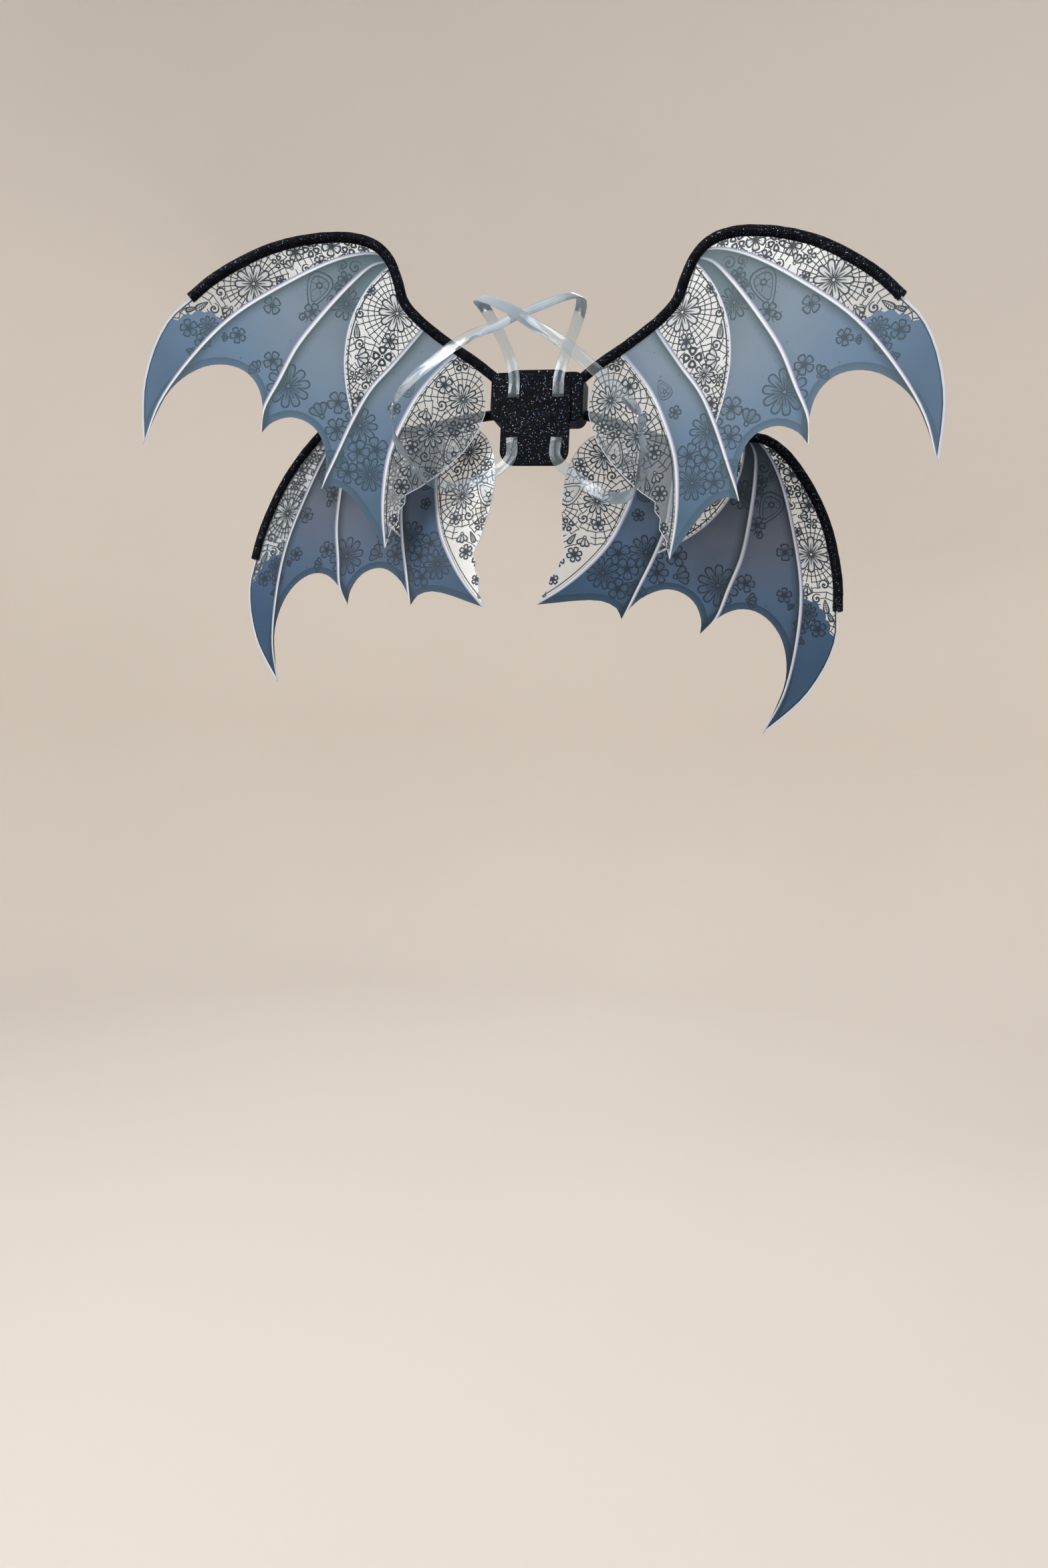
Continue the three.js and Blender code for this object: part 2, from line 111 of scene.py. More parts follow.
JUNCTION = (26, 197)  # where the border rib runs into the middle one
# The scalloped edge where the claw's blue begins, and the height of each scallop
CLOUD = [(199, 96), (209, 83), (224, 80), (240, 84), (256, 93)]
CLOUD_BULGE = 4
RIB_STEPS = 36

# The print's palette, as sRGB. The lower pair's colours are darker copies of the upper pair's: painted shade
# on the lower wings
INK_AND_PAINTED_SHADE = {
    "upper": {
        "fan": "#51646e", "near": "#5f727c", "lilac": "#6f8091", "blue": "#5b7590", "deep": "#4a647e",
        "band": "#40586a", "shadow": "#364850", "motif": "#2f3f4a", "rib": 1.0,
    },
    # The lower pair: darker inks, and ribs dimmed to 0.8, as painted shade
    "lower": {
        "fan": "#1b2c36", "near": "#3c4853", "lilac": "#596274", "blue": "#3c5570", "deep": "#2c4864",
        "band": "#1f3648", "shadow": "#15222b", "motif": "#121e28", "rib": 0.8,
    },
}
GROUND_STOPS = ((0.0, "fan"), (0.16, "near"), (0.42, "lilac"), (0.72, "blue"), (1.0, "deep"))
GROUND_REACH = 310  # where the ground reaches its deepest blue, from the fan root
LACE_LINE = "#26323b"
LACE_PETAL_HEART = "#65727d"
LACE_PETAL_TIP = "#c6ced4"
LACE_GROUND = "#dfe7ec"
# A rib's colours across its width, from its upper side to its lower one
RIB_PROFILE = (
    (-1.0, "#6a6d90"), (-0.6, "#9699ba"), (-0.1, "#c6ccd8"), (0.4, "#e6edf1"), (1.0, "#7d8997"))
EDGE_LIGHT = "#bfc6d6"
OPAQUE = 0.97
CLEAR = 0.12
LINE_WIDTH = 2.0
NET_WIDTH = 1.1
BAND_WIDTH = 9
VEINED_BLOSSOM = 9.5  # smaller blossoms have plain petals
SHADOW_REACH = 13
STREAK_WIDTHS = [1.8, 1.2, 0.5]  # of the dark streak at a daisy petal's foot
VEIN_WIDTHS = [1.4, 1.0, 0.4]  # of the vein in a blossom's petal


# Settings that a user would change

class FilmSettings(bpy.types.PropertyGroup):
    thickness: bpy.props.FloatProperty(
        name="Thickness", description="Thickness of the film", default=1.0 * MM, unit="LENGTH")
    mottle: bpy.props.FloatProperty(
        name="Mottle", description="How far the ink's tone wanders", default=0.1, subtype="FACTOR")
    grid: bpy.props.FloatProperty(
        name="Shading Grid", description="Spacing of the points that carry the ink's shading",
        default=7 * MM, unit="LENGTH")


class TubeSettings(bpy.types.PropertyGroup):
    radius: bpy.props.FloatProperty(
        name="Radius", description="Radius of the foam tube", default=TUBE_DIAMETER / 2 * MM,
        unit="LENGTH")
    lumps: bpy.props.FloatProperty(
        name="Lumps", description="Height of the foam's unevenness", default=0.55 * MM, unit="LENGTH")
    flake: bpy.props.FloatProperty(
        name="Flake", description="Radius of a glitter flake", default=0.2 * MM, unit="LENGTH")
    density: bpy.props.FloatProperty(
        name="Flake Density", description="Glitter flakes for each square metre", default=60000.0)
    foam: bpy.props.FloatVectorProperty(
        name="Foam", description="Colour of the foam", default=(0.002, 0.002, 0.003), subtype="COLOR")


class HarnessSettings(bpy.types.PropertyGroup):
    edge_round: bpy.props.FloatProperty(
        name="Edge Round", description="Rounding of a strap's long edges", default=0.4 * MM,
        unit="LENGTH")
    tint: bpy.props.FloatVectorProperty(
        name="Tint", description="Colour of the clear strap", default=(0.9, 0.94, 0.97), subtype="COLOR")


class StageSettings(bpy.types.PropertyGroup):
    floor: bpy.props.FloatProperty(
        name="Floor Height", description="Height of the floor", default=-1.3, unit="LENGTH")
    radius: bpy.props.FloatProperty(
        name="Stage Radius", description="Radius of the round backdrop", default=3.4, unit="LENGTH")
    colour: bpy.props.FloatVectorProperty(
        name="Backdrop", description="Colour of the floor and backdrop", default=(0.73, 0.675, 0.62),
        subtype="COLOR")


# Node trees written as expressions

class Value:
    """A socket that takes part in arithmetic: an expression on values adds its Math nodes."""

    def __init__(self, graph, socket):
        self.graph = graph
        self.socket = socket

    def __add__(self, other):
        return self.graph.math("ADD", self, other)

    __radd__ = __add__

    def __sub__(self, other):
        return self.graph.math("SUBTRACT", self, other)

    def __rsub__(self, other):
        return self.graph.math("SUBTRACT", other, self)

    def __mul__(self, other):
        return self.graph.math("MULTIPLY", self, other)

    __rmul__ = __mul__

    def __gt__(self, other):
        return self.graph.math("GREATER_THAN", self, other)


class Made:
    """A node whose outputs are read by name or number as values."""

    def __init__(self, graph, node):
        self.graph = graph
        self.node = node

    def __getitem__(self, output):
        return Value(self.graph, self.node.outputs[output])


class Graph:
    """Adds nodes to a tree, with their settings and what feeds their sockets."""

    def __init__(self, tree):
        self.tree = tree
        tree.nodes.clear()

    def add(self, kind, settings=None, sockets=None):
        node = self.tree.nodes.new(kind)
        for name, value in (settings or {}).items():
            setattr(node, name, value)
        for name, value in (sockets or {}).items():
            self.feed(node.inputs[name], value)
        return Made(self, node)

    def feed(self, socket, value):
        if isinstance(value, Value):
            self.tree.links.new(value.socket, socket)
        else:
            socket.default_value = value

    def math(self, operation, *values):
        made = self.add("ShaderNodeMath", {"operation": operation})
        for number, value in enumerate(values):
            self.feed(made.node.inputs[number], value)
        return made[0]

    def mix(self, factor, first, second, blend="MIX"):
        """Two colours mixed by a factor."""
        settings = {"data_type": "RGBA", "blend_type": blend}
        return self.add("ShaderNodeMix", settings, {0: factor, 6: first, 7: second})[2]

    def stretch(self, value, low, high, bottom, top):
        """The value, taken from one range to another and kept in it."""
        sockets = {"Value": value, 1: low, 2: high, 3: bottom, 4: top}
        return self.add("ShaderNodeMapRange", {"clamp": True}, sockets)[0]


def new_material(name):
    """An empty material and its graph."""
    material = bpy.data.materials.new(name)
    material.use_nodes = True
    return material, Graph(material.node_tree)


def finish_material(graph, surface):
    graph.add("ShaderNodeOutputMaterial", {}, {"Surface": surface})


def linear(colour):
    """An sRGB colour written in hexadecimal, as linear numbers."""
    parts = [int(colour[i:i + 2], 16) / 255 for i in (1, 3, 5)]
    return tuple(p / 12.92 if p <= 0.04045 else ((p + 0.055) / 1.055) ** 2.4 for p in parts)


def blended(first, second, share):
    return tuple(a + (b - a) * share for a, b in zip(first, second))


def along_stops(stops, place):
    """The colour at a place between stops, each a place and a linear colour."""
    if place <= stops[0][0]:
        return stops[0][1]
    for (low, first), (high, second) in zip(stops, stops[1:]):
        if place <= high:
            return blended(first, second, (place - low) / (high - low))
    return stops[-1][1]


# Lines in the print plane

def smooth_line(points, steps):
    """A centripetal Catmull-Rom line through the points, cut into `steps` stretches."""
    points = [Vector(p) for p in points]
    ends = [2 * points[0] - points[1]], [2 * points[-1] - points[-2]]
    knots = ends[0] + points + ends[1]
    line = []
    for i in range(steps + 1):
        place = min(i / steps * (len(points) - 1), len(points) - 1 - 1e-9)
        at = int(place)
        share = place - at
        a, b, c, d = knots[at:at + 4]
        before, here, after = (math.sqrt((q - p).length) for p, q in ((a, b), (b, c), (c, d)))
        leave = ((b - a) / before - (c - a) / (before + here) + (c - b) / here) * here
        arrive = ((c - b) / here - (d - b) / (here + after) + (d - c) / after) * here
        square, cube = share ** 2, share ** 3
        line.append((2 * cube - 3 * square + 1) * b + (cube - 2 * square + share) * leave
                    + (3 * square - 2 * cube) * c + (cube - square) * arrive)
    return line


def sides_of(line, left, right=None):
    """The line moved to both sides. Each distance is a number, or one for every point."""
    right = left if right is None else right
    lefts, rights = [], []
    for i, point in enumerate(line):
        run = line[min(i + 1, len(line) - 1)] - line[max(i - 1, 0)]
        across = Vector((-run.y, run.x)).normalized()
        lefts.append(point + across * (left[i] if isinstance(left, list) else left))
        rights.append(point - across * (right[i] if isinstance(right, list) else right))
    return lefts, rights


def from_line(line, point):
    """How far the point lies from the line, and at what share of its points."""
    best = (1e9, 0.0, 1.0)
    for i, (a, b) in enumerate(zip(line, line[1:])):
        run = b - a
        share = max(0.0, min(1.0, (point - a).dot(run) / run.length_squared))
        gap = point - (a + run * share)
        if gap.length < best[0]:
            side = 1.0 if run.x * gap.y - run.y * gap.x >= 0 else -1.0
            best = (gap.length, (i + share) / (len(line) - 1), side)
    return best


def heading(angle):
    return Vector((math.cos(angle), math.sin(angle)))


def arc_points(centre, radius, start, end, count):
    """Points on an arc; angles are in degrees."""
    turns = (math.radians(start + (end - start) * i / (count - 1)) for i in range(count))
    return [Vector(centre) + heading(turn) * radius for turn in turns]


# The wing's print

def holds(polygon, point):
    """Whether the point lies in the polygon, by counting the edges beside it."""
    crossed = False
    for a, b in zip(polygon, polygon[1:] + polygon[:1]):
        if (a.y > point.y) != (b.y > point.y):
            if point.x < a.x + (b.x - a.x) * (point.y - a.y) / (b.y - a.y):
                crossed = not crossed
    return crossed


class Artwork:
    """The shapes printed on one wing. Later shapes lie on earlier ones."""

    def __init__(self, outline):
        self.outline = outline
        self.grounds = []
        self.only = None  # the ground that the next shapes show on, "lace" or "blue"
        self.shapes = []
        self.add("film", outline)

    def ground_at(self, point):
        if not holds(self.outline, point):
            return None
        return "blue" if any(holds(ground, point) for ground in self.grounds) else "lace"

    def add(self, paint, points, **data):
        points = [Vector(p) for p in points]
        area = sum(a.x * b.y - a.y * b.x for a, b in zip(points, points[1:] + points[:1]))
        if area < 0:
            points.reverse()
        if paint == "ground":
            self.grounds.append(points)
        if self.only:
            if all(self.ground_at(point) != self.only for point in points[::2]):
                return
            data["only"] = self.only
        self.shapes.append({"paint": paint, "points": points, **data})

    def strip(self, paint, line, width=LINE_WIDTH, **data):
        line = [Vector(p) for p in line]
        halves = [w / 2 for w in width] if isinstance(width, list) else width / 2
        left, right = sides_of(line, halves)
        self.add(paint, left + right[::-1], **data)

    def disc(self, paint, centre, radius, sides=10, **data):
        self.add(paint, arc_points(centre, radius, 0, 360 - 360 / sides, sides), **data)


def petal_points(centre, angle, start, end, width, half_count=7):
    """A petal: narrow towards the flower's heart, broad and round towards its end."""
    points = []
    for i in range(2 * half_count):
        turn = math.pi * i / half_count
        along = 0.5 - 0.5 * math.cos(turn)
        round_end = math.copysign(abs(math.sin(turn)) ** 0.8, math.sin(turn))
        half = width / 2 * round_end * (0.35 + 0.95 * along)
        points.append(centre + heading(angle) * (start + (end - start) * along)
                      + heading(angle + math.pi / 2) * half)
    return points


def petal(art, centre, angle, start, end, width, fill="petal"):
    art.add("line", petal_points(centre, angle, start, end, width))
    inner = petal_points(centre, angle, start + LINE_WIDTH, end - LINE_WIDTH, width - 1.9 * LINE_WIDTH, 6)
    art.add(fill, inner, centre=centre, reach=end)


def ring_width(radius, petals):
    """How wide each petal of a flower is for all of them to touch."""
    return 4.3 * radius / petals


def daisy(art, centre, radius, petals=12, turn=0.0):
    """Petals side by side, each with a dark streak at its foot, round a small heart."""
    width = ring_width(radius, petals)
    angles = [turn + 2 * math.pi * i / petals for i in range(petals)]
    for angle in angles:
        petal(art, centre, angle, 0.12 * radius, radius, width, "pale")
    for angle in angles:
        foot = petal_points(centre, angle, 0.14 * radius, 0.6 * radius, 0.6 * width, 4)
        art.add("petal", foot, centre=centre, reach=radius)
        streak = [centre + heading(angle) * radius * share for share in (0.15, 0.4, 0.62)]
        art.strip("line", streak, STREAK_WIDTHS)
    art.disc("line", centre, 0.15 * radius, 10)
    art.disc("pale", centre, 0.07 * radius, 8)


def blossom(art, centre, radius, petals=5, turn=0.0):
    """Round petals round a heart. Those of a large blossom have a dark vein each."""
    angles = [turn + 2 * math.pi * i / petals for i in range(petals)]
    for angle in angles:
        petal(art, centre, angle, 0.08 * radius, radius, ring_width(radius, petals), "pale")
    for angle in angles if radius > VEINED_BLOSSOM else ():
        vein = [centre + heading(angle) * radius * share for share in (0.15, 0.35, 0.55)]
        art.strip("line", vein, VEIN_WIDTHS)
    art.disc("line", centre, 0.16 * radius, 8)


def dark_blossom(art, centre, radius, petals=4, turn=0.0):
    """Dark petals with a pale slit, round a pale heart."""
    width = 0.9 * ring_width(radius, petals)
    for i in range(petals):
        angle = turn + 2 * math.pi * i / petals
        art.add("line", petal_points(centre, angle, 0.1 * radius, radius, width))
        art.add("film", petal_points(centre, angle, 0.42 * radius, 0.78 * radius, 0.42 * width, 4))
    art.disc("film", centre, 0.2 * radius, 8)
    art.disc("line", centre, 0.1 * radius, 6)


def bud(art, centre, radius, petals=3, turn=0.0):
    """A half-open flower: a fan of petals over a small cup."""
    for i in sorted(range(petals), key=lambda i: -abs(i - (petals - 1) / 2)):
        angle = turn + math.radians(34) * (i - (petals - 1) / 2)
        petal(art, centre, angle, 0.0, radius * 1.5, 0.85 * radius)
    art.disc("line", centre, 0.3 * radius, 8)
    art.disc("pale", centre, 0.16 * radius, 6)


def leaf(art, centre, radius, petals=5, turn=0.0):
    """A leaf with a mid vein and side veins."""
    petal(art, centre, turn, -radius, radius, 0.95 * radius, "pale")
    across = heading(turn + math.pi / 2)
    run = heading(turn)
    art.strip("line", [centre - run * radius * 0.9, centre + run * radius * 0.7], 0.8)
    for i in range(petals):
        base = centre + run * radius * (-0.55 + 1.1 * i / petals)
        for side in (-1, 1):
            art.strip("line", [base, base + run * radius * 0.28 + across * side * radius * 0.32], 0.6)


def curl(art, centre, radius, petals=1, turn=0.0):
    """A scroll that winds in to a dot. A negative number of petals winds it the other way."""
    wind = 1 if petals > 0 else -1
    line, widths = [], []
    for i in range(19):
        share = i / 18
        way = heading(turn + wind * share * 1.35 * 2 * math.pi)
        line.append(centre + way * radius * (1 - 0.8 * share))
        widths.append(0.9 + 1.3 * math.sin(math.pi * share))
    art.strip("line", line, widths)
    art.disc("line", centre, 0.2 * radius, 8)


def ticked_arc(art, centre, radius, petals=8, turn=0.0):
    """Two arcs side by side with ticks between them."""
    start = math.degrees(turn)
    for share in (1.0, 0.72):
        art.strip("line", arc_points(centre, radius * share, start, start + 150, 12), 1.0)
    for i in range(petals):
        way = heading(math.radians(start + 150 * (i + 0.5) / petals))
        art.strip("line", [centre + way * radius * 0.72, centre + way * radius], 0.7)


def paisley(art, centre, radius, petals=5, turn=0.0):
    """A drop of two lines with a ticked rim, filled with cells."""
    for size, paint in ((1.0, "line"), (0.9, "film"), (0.72, "line"), (0.65, "pale")):
        art.add(paint, petal_points(centre, turn, -1.15 * radius * size, 0.95 * radius * size,
                                    1.55 * radius * size, 10), centre=centre, reach=radius)
    for i in range(18):
        way = heading(turn + 2 * math.pi * i / 18)
        rim = centre + way * radius * 0.1
        art.strip("net", [rim + way * radius * 0.6, rim + way * radius * 0.74], 0.6)
    heart = centre + heading(turn) * radius * 0.18
    for i in range(petals):
        way = heading(turn + 2 * math.pi * (i + 0.5) / petals)
        art.strip("line", [heart + way * radius * 0.16, heart + way * radius * 0.5], 0.8)
    art.disc("line", heart, 0.2 * radius, 8)
    art.disc("film", heart, 0.11 * radius, 6)


MOTIFS = {
    "daisy": daisy, "blossom": blossom, "dark": dark_blossom, "bud": bud, "leaf": leaf, "curl": curl,
    "arc": ticked_arc, "paisley": paisley,
}
# Round nets under the lace: the centre's u and v, the inner and outer radius, and the number of spokes
NETS = [
    (163, 38, 22, 80, 34),
    (-24, 57, 22, 80, 34),
    (70, -12, 9, 50, 16),
    (16, 140, 12, 50, 20),
    (-78, 206, 18, 60, 24),
    (-110, 250, 14, 60, 22),
    (-118, 158, 18, 60, 26),
    (240, 90, 8, 50, 14),
]
NET_CELL = 8.0
# Where each motif lies: kind, u, v, radius, petals, and its turn in degrees
LACE = [
    ("blossom", 24, -19, 8, 5, 0),
    ("dark", 43, -19, 10, 4, 30),
    ("blossom", 66, -18, 13, 5, 15),
    ("bud", 55, -6, 6, 3, 170),
    ("blossom", 79, 3, 9, 5, 40),
    ("dark", 92, -13, 11.5, 5, 20),
    ("blossom", 112, -6, 12, 6, 10),
    ("curl", 97, 13, 6, 1, 240),
    ("bud", 115, 14, 8, 3, 310),
    ("dark", 133, 8, 8, 4, 0),
    ("blossom", 128, 31, 7, 5, 190),
    ("daisy", 163, 38, 25, 10, 6),
    ("bud", 190, 71, 9, 3, 60),
    ("curl", 205, 53, 8, 1, 90),
    ("curl", 212, 74, 7, -1, 270),
    ("leaf", 228, 72, 10, 4, 35),
    ("leaf", 241, 77, 8, 4, 20),
    ("blossom", 196, 85, 8, 5, 0),
    ("daisy", -24, 57, 25, 10, 0),
    ("blossom", 12, 32, 7, 5, 0),
    ("curl", 24, 62, 7, 1, 250),
    ("leaf", 27, 84, 10, 5, 95),
    ("curl", 22, 100, 7, -1, 80),
    ("blossom", -17, 93, 11, 6, 0),
    ("dark", -8, 113, 13, 4, 0),
    ("bud", 25, 117, 11, 4, 180),
    ("daisy", 8, 135, 14, 8, 0),
    ("dark", 27, 142, 8, 5, 20),
    ("curl", 12, 153, 7, 1, 100),
    ("blossom", 19, 170, 10, 5, 30),
    ("dark", 24, 186, 6, 4, 20),
    ("curl", -5, 146, 5, -1, 0),
    ("dark", -112, 112, 11, 5, 0),
    ("blossom", -92, 142, 12, 5, 0),
    ("daisy", -118, 158, 20, 10, 0),
    ("curl", -90, 168, 8, 1, 30),
    ("bud", -70, 176, 9, 3, 80),
    ("daisy", -78, 206, 19, 10, 0),
    ("dark", -110, 196, 10, 4, 30),
    ("paisley", -110, 226, 20, 5, 100),
    ("blossom", -54, 226, 10, 5, 10),
    ("blossom", -128, 190, 9, 5, 10),
    ("curl", -72, 236, 8, -1, 200),
    ("bud", -52, 252, 9, 3, 60),
    ("dark", -80, 258, 9, 4, 20),
    ("blossom", -44, 278, 11, 6, 0),
    ("leaf", -62, 266, 9, 4, 80),
    ("dark", -52, 300, 9, 4, 45),
    ("blossom", -38, 322, 8, 5, 0),
    ("dark", -33, 345, 6, 4, 0),
]
# The same for what is drawn in darker ink on the blue
SHADES = [
    ("curl", 34, 5, 9, 1, 200),
    ("curl", 50, 4, 7, -1, 30),
    ("arc", 56, 20, 12, 6, 120),
    ("blossom", 46, 21, 10, 5, 0),
    ("bud", 60, 34, 7, 3, 200),
    ("paisley", 80, 36, 23, 6, 250),
    ("blossom", 86, 66, 12, 5, 30),
    ("curl", 98, 74, 7, 1, 120),
    ("curl", 62, 48, 6, -1, 30),
    ("blossom", 138, 63, 12, 4, 40),
    ("blossom", 180, 104, 11, 5, 10),
    ("bud", 192, 108, 6, 3, 0),
    ("blossom", 134, 132, 13, 5, 30),
    ("bud", 152, 146, 9, 4, 320),
    ("daisy", 112, 162, 29, 10, 10),
    ("daisy", 43, 52, 21, 10, 20),
    ("blossom", 46, 177, 15, 5, 20),
    ("bud", 66, 197, 13, 3, 300),
    ("bud", 30, 216, 13, 4, 200),
    ("blossom", 46, 212, 16, 6, 10),
    ("daisy", 16, 204, 24, 10, 0),
    ("blossom", -7, 233, 17, 5, 0),
    ("blossom", 16, 238, 16, 5, 40),
    ("bud", 38, 242, 14, 4, 60),
    ("daisy", -1, 266, 23, 10, 0),
    ("blossom", 28, 266, 15, 5, 15),
    ("paisley", -44, 150, 13, 5, 60),
    ("blossom", -28, 178, 9, 5, 0),
    ("daisy", 218, 97, 14, 9, 0),
    ("blossom", 243, 101, 12, 5, 0),
    ("blossom", 225, 116, 11, 5, 20),
    ("bud", 236, 126, 7, 3, 60),
]


def rib_line(name):
    return smooth_line(RIBS[name]["line"], RIB_STEPS)


def rib_half(name, share):
    """The rib's half width at a share of its length: root, middle and tip, joined smoothly."""
    root, middle, tip = RIBS[name]["half"]
    if share < 0.5:
        return root + (middle - root) * math.sin(math.pi * share)
    return tip + (middle - tip) * math.sin(math.pi * share)


def bulged(points, height):
    """The points joined by arcs that bulge to the left of the run."""
    line = []
    for a, b in zip(points, points[1:]):
        a, b = Vector(a), Vector(b)
        across = Vector((b.y - a.y, a.x - b.x)).normalized()
        line += [a.lerp(b, i / 8) + across * height * math.sin(math.pi * i / 8) for i in range(8)]
    return line + [Vector(points[-1])]


def part_of(line, start, end):
    """The stretch of a line between the points nearest to two places."""
    first = min(range(len(line)), key=lambda i: (line[i] - Vector(start)).length)
    last = min(range(len(line)), key=lambda i: (line[i] - Vector(end)).length)
    if first <= last:
        return line[first:last + 1]
    return line[first:] + line[:last + 1]


def shown_runs(line, shown):
    """The stretches of a line whose middles pass a test."""
    run = []
    for a, b in zip(line, line[1:]):
        if shown((a + b) / 2):
            run = run or [a]
            run.append(b)
        elif run:
            yield run
            run = []
    if run:
        yield run


def draw_nets(art):
    """Spokes and rings round each net's centre, as far as the next net, and not under a motif."""
    centres = [Vector(net[:2]) for net in NETS]
    hidden = [(Vector(motif[1:3]), 0.85 * motif[3]) for motif in LACE]

    def shown(point, centre):
        if min(centres, key=lambda c: (point - c).length) is not centre:
            return False
        if any((point - middle).length < radius for middle, radius in hidden):
            return False
        return art.ground_at(point) == "lace"

    for centre, (_, _, start, end, spokes) in zip(centres, NETS):
        rings = round((end - start) / NET_CELL)
        reaches = [start + (end - start) * ring / rings for ring in range(rings + 1)]
        for i in range(spokes):
            way = heading(2 * math.pi * i / spokes)
            spoke = [centre + way * reach for reach in reaches]
            for run in shown_runs(spoke, lambda p: shown(p, centre)):
                art.strip("net", run, NET_WIDTH)
        for reach in reaches:
            ring = [centre + heading(math.pi * i / spokes) * reach * (0.97 if i % 2 else 1.0)
                    for i in range(2 * spokes + 1)]
            for run in shown_runs(ring, lambda p: shown(p, centre)):
                art.strip("net", run, NET_WIDTH)


def draw_zones(art):
    """The blue grounds. Whatever lies outside them is clear film under the lace."""
    claw, border, middle, inner = (rib_line(n) for n in ("claw", "border", "middle", "inner"))
    lower_middle = part_of(middle, JUNCTION, MIDDLE_TIP)
    art.add("ground", [(-14, -2), (-6, -20)] + claw + [(340, 330), (100, 400)] + lower_middle[::-1]
            + border[::-1])
    art.add("ground", middle + [(60, 420), (0, 440)] + inner[::-1])
    cloud = bulged(CLOUD, CLOUD_BULGE) + [(300, 86), (350, 300)]
    art.add("ground", cloud + part_of(claw, CLOUD[0], CLAW_TIP)[::-1])


def draw_ribs(art):
    """Each rib in bands across its width, with a soft shadow on the ink at its lower side."""
    for name in RIBS:
        line = rib_line(name)
        halves = [rib_half(name, i / RIB_STEPS) for i in range(RIB_STEPS + 1)]
        for near, far in ((0.0, 2.0), (2.0, 5.0), (5.0, SHADOW_REACH)):
            for side in (-1, 1):
                edges = [sides_of(line, [side * (h + d) for h in halves])[0] for d in (near, far)]
                art.add("shadow", edges[0] + edges[1][::-1], rib=name)
        shares = [stop[0] for stop in RIB_PROFILE]
        for low, high in zip(shares, shares[1:]):
            edges = [sides_of(line, [h * s for h in halves])[0] for s in (low, high)]
            art.add("rib", edges[0] + edges[1][::-1], rib=name)


def draw_edges(art, outline):
    """The darker band inside the scallops, the light cut edge, and the lace's dark border lines."""
    corners = (INNER_TIP, MIDDLE_TIP, OUTER_TIP, CLAW_TIP)
    for start, end in zip(corners, corners[1:]):
        scallop = part_of(outline, start, end)
        for near, far in ((-1.0, 3.0), (3.0, 6.0), (6.0, BAND_WIDTH)):
            edges = [sides_of(scallop, -d)[0] for d in (near, far)]
            art.add("band", edges[0] + edges[1][::-1], line=scallop)
    art.strip("light", sides_of(part_of(outline, TUBE_END, CLAW_TIP), -0.2)[0], 1.6)
    claw = part_of(outline, CLAW_TIP, TUBE_END)
    art.strip("shade", sides_of(claw, -3.4)[0], 1.4)
    art.strip("light", sides_of(claw, -0.9)[0], 3.0)
    art.only = "lace"
    art.strip("line", sides_of(rib_line("border"), 4.4)[0], 1.6)
    art.strip("line", sides_of(rib_line("inner"), 5.4)[0], 1.2)
    art.only = None


def draw_print(outline):
    """All shapes of one wing. The first is the film itself."""
    art = Artwork(outline)
    draw_zones(art)
    draw_nets(art)
    for art.only, motifs in (("lace", LACE), ("blue", SHADES)):
        for kind, u, v, radius, petals, turn in motifs:
            MOTIFS[kind](art, Vector((u, v)), radius, petals, math.radians(turn))
    art.only = None
    draw_edges(art, outline)
    draw_ribs(art)
    return art


# Colours of the print

def palette_of(level):
    """Linear colours of the ink on one pair of wings; on the lower pair they are darker, as painted shade."""
    pair_colours = {name: linear(colour) for name, colour in INK_AND_PAINTED_SHADE[level].items() if name != "rib"}
    pair_colours["stops"] = [(place, pair_colours[name]) for place, name in GROUND_STOPS]
    # How bright the ribs are on this pair: below 1 on the lower pair, as painted shade
    light = INK_AND_PAINTED_SHADE[level]["rib"]
    pair_colours["profile"] = [(place, tuple(c * light for c in linear(colour))) for place, colour in RIB_PROFILE]
    for name, colour in (("line", LACE_LINE), ("heart", LACE_PETAL_HEART), ("tip", LACE_PETAL_TIP),
                         ("clear", LACE_GROUND), ("light", EDGE_LIGHT)):
        pair_colours[name] = linear(colour)
    return pair_colours


def ground_colour(pair_colours, point):
    reach = min(point.length / GROUND_REACH, 1.0)
    return along_stops(pair_colours["stops"], reach)


def solid_colour(pair_colours, shape, point, blue):
    """Colour and opacity of a shape's paint on the blue ground or on the clear film."""
    paint = shape["paint"]
    ground = ground_colour(pair_colours, point)
    if paint == "rib":
        gap, share, side = from_line(shape["centre_line"], point)
        lit = along_stops(pair_colours["profile"], side * gap / rib_half(shape["rib"], share))
        return blended(ground, lit, min(1.0, 0.12 + 2.6 * share, 1.9 - share)), OPAQUE
    if paint == "light":
        return pair_colours["light"], OPAQUE
    if paint == "shade":
        return pair_colours["shadow"], OPAQUE
    reach = 0.0
    if "centre" in shape:
        reach = min((point - shape["centre"]).length / shape["reach"], 1.0)
    if blue:
        strength = {"line": 0.88, "heart": 0.6, "pale": 0.14, "net": 0.5}.get(paint, 0.0)
        if paint == "petal":
            strength = 0.55 - 0.4 * reach
        return blended(ground, pair_colours["motif"], strength), OPAQUE
    if paint in ("line", "net"):
        return pair_colours["line"], 0.96
    if paint == "heart":
        return pair_colours["heart"], 0.9
    if paint == "petal":
        return blended(pair_colours["heart"], pair_colours["tip"], min(1.0, 1.5 * reach)), 0.55 - 0.35 * reach
    if paint == "pale":
        return pair_colours["tip"], 0.34
    return pair_colours["clear"], CLEAR


def tinted(pair_colours, shape, point, colour):
    """The colour under a band or a rib's shadow."""
    if shape["paint"] == "band":
        gap, _, _ = from_line(shape["line"], point)
        return blended(colour, pair_colours["band"], 0.4 + 0.5 * min(gap / BAND_WIDTH, 1.0))
    gap, share, side = from_line(shape["centre_line"], point)
    depth = max(0.0, 1 - max(0.0, gap - rib_half(shape["rib"], share)) / SHADOW_REACH)
    return blended(colour, pair_colours["shadow"], (0.9 if side > 0 else 0.15) * depth ** 1.4)


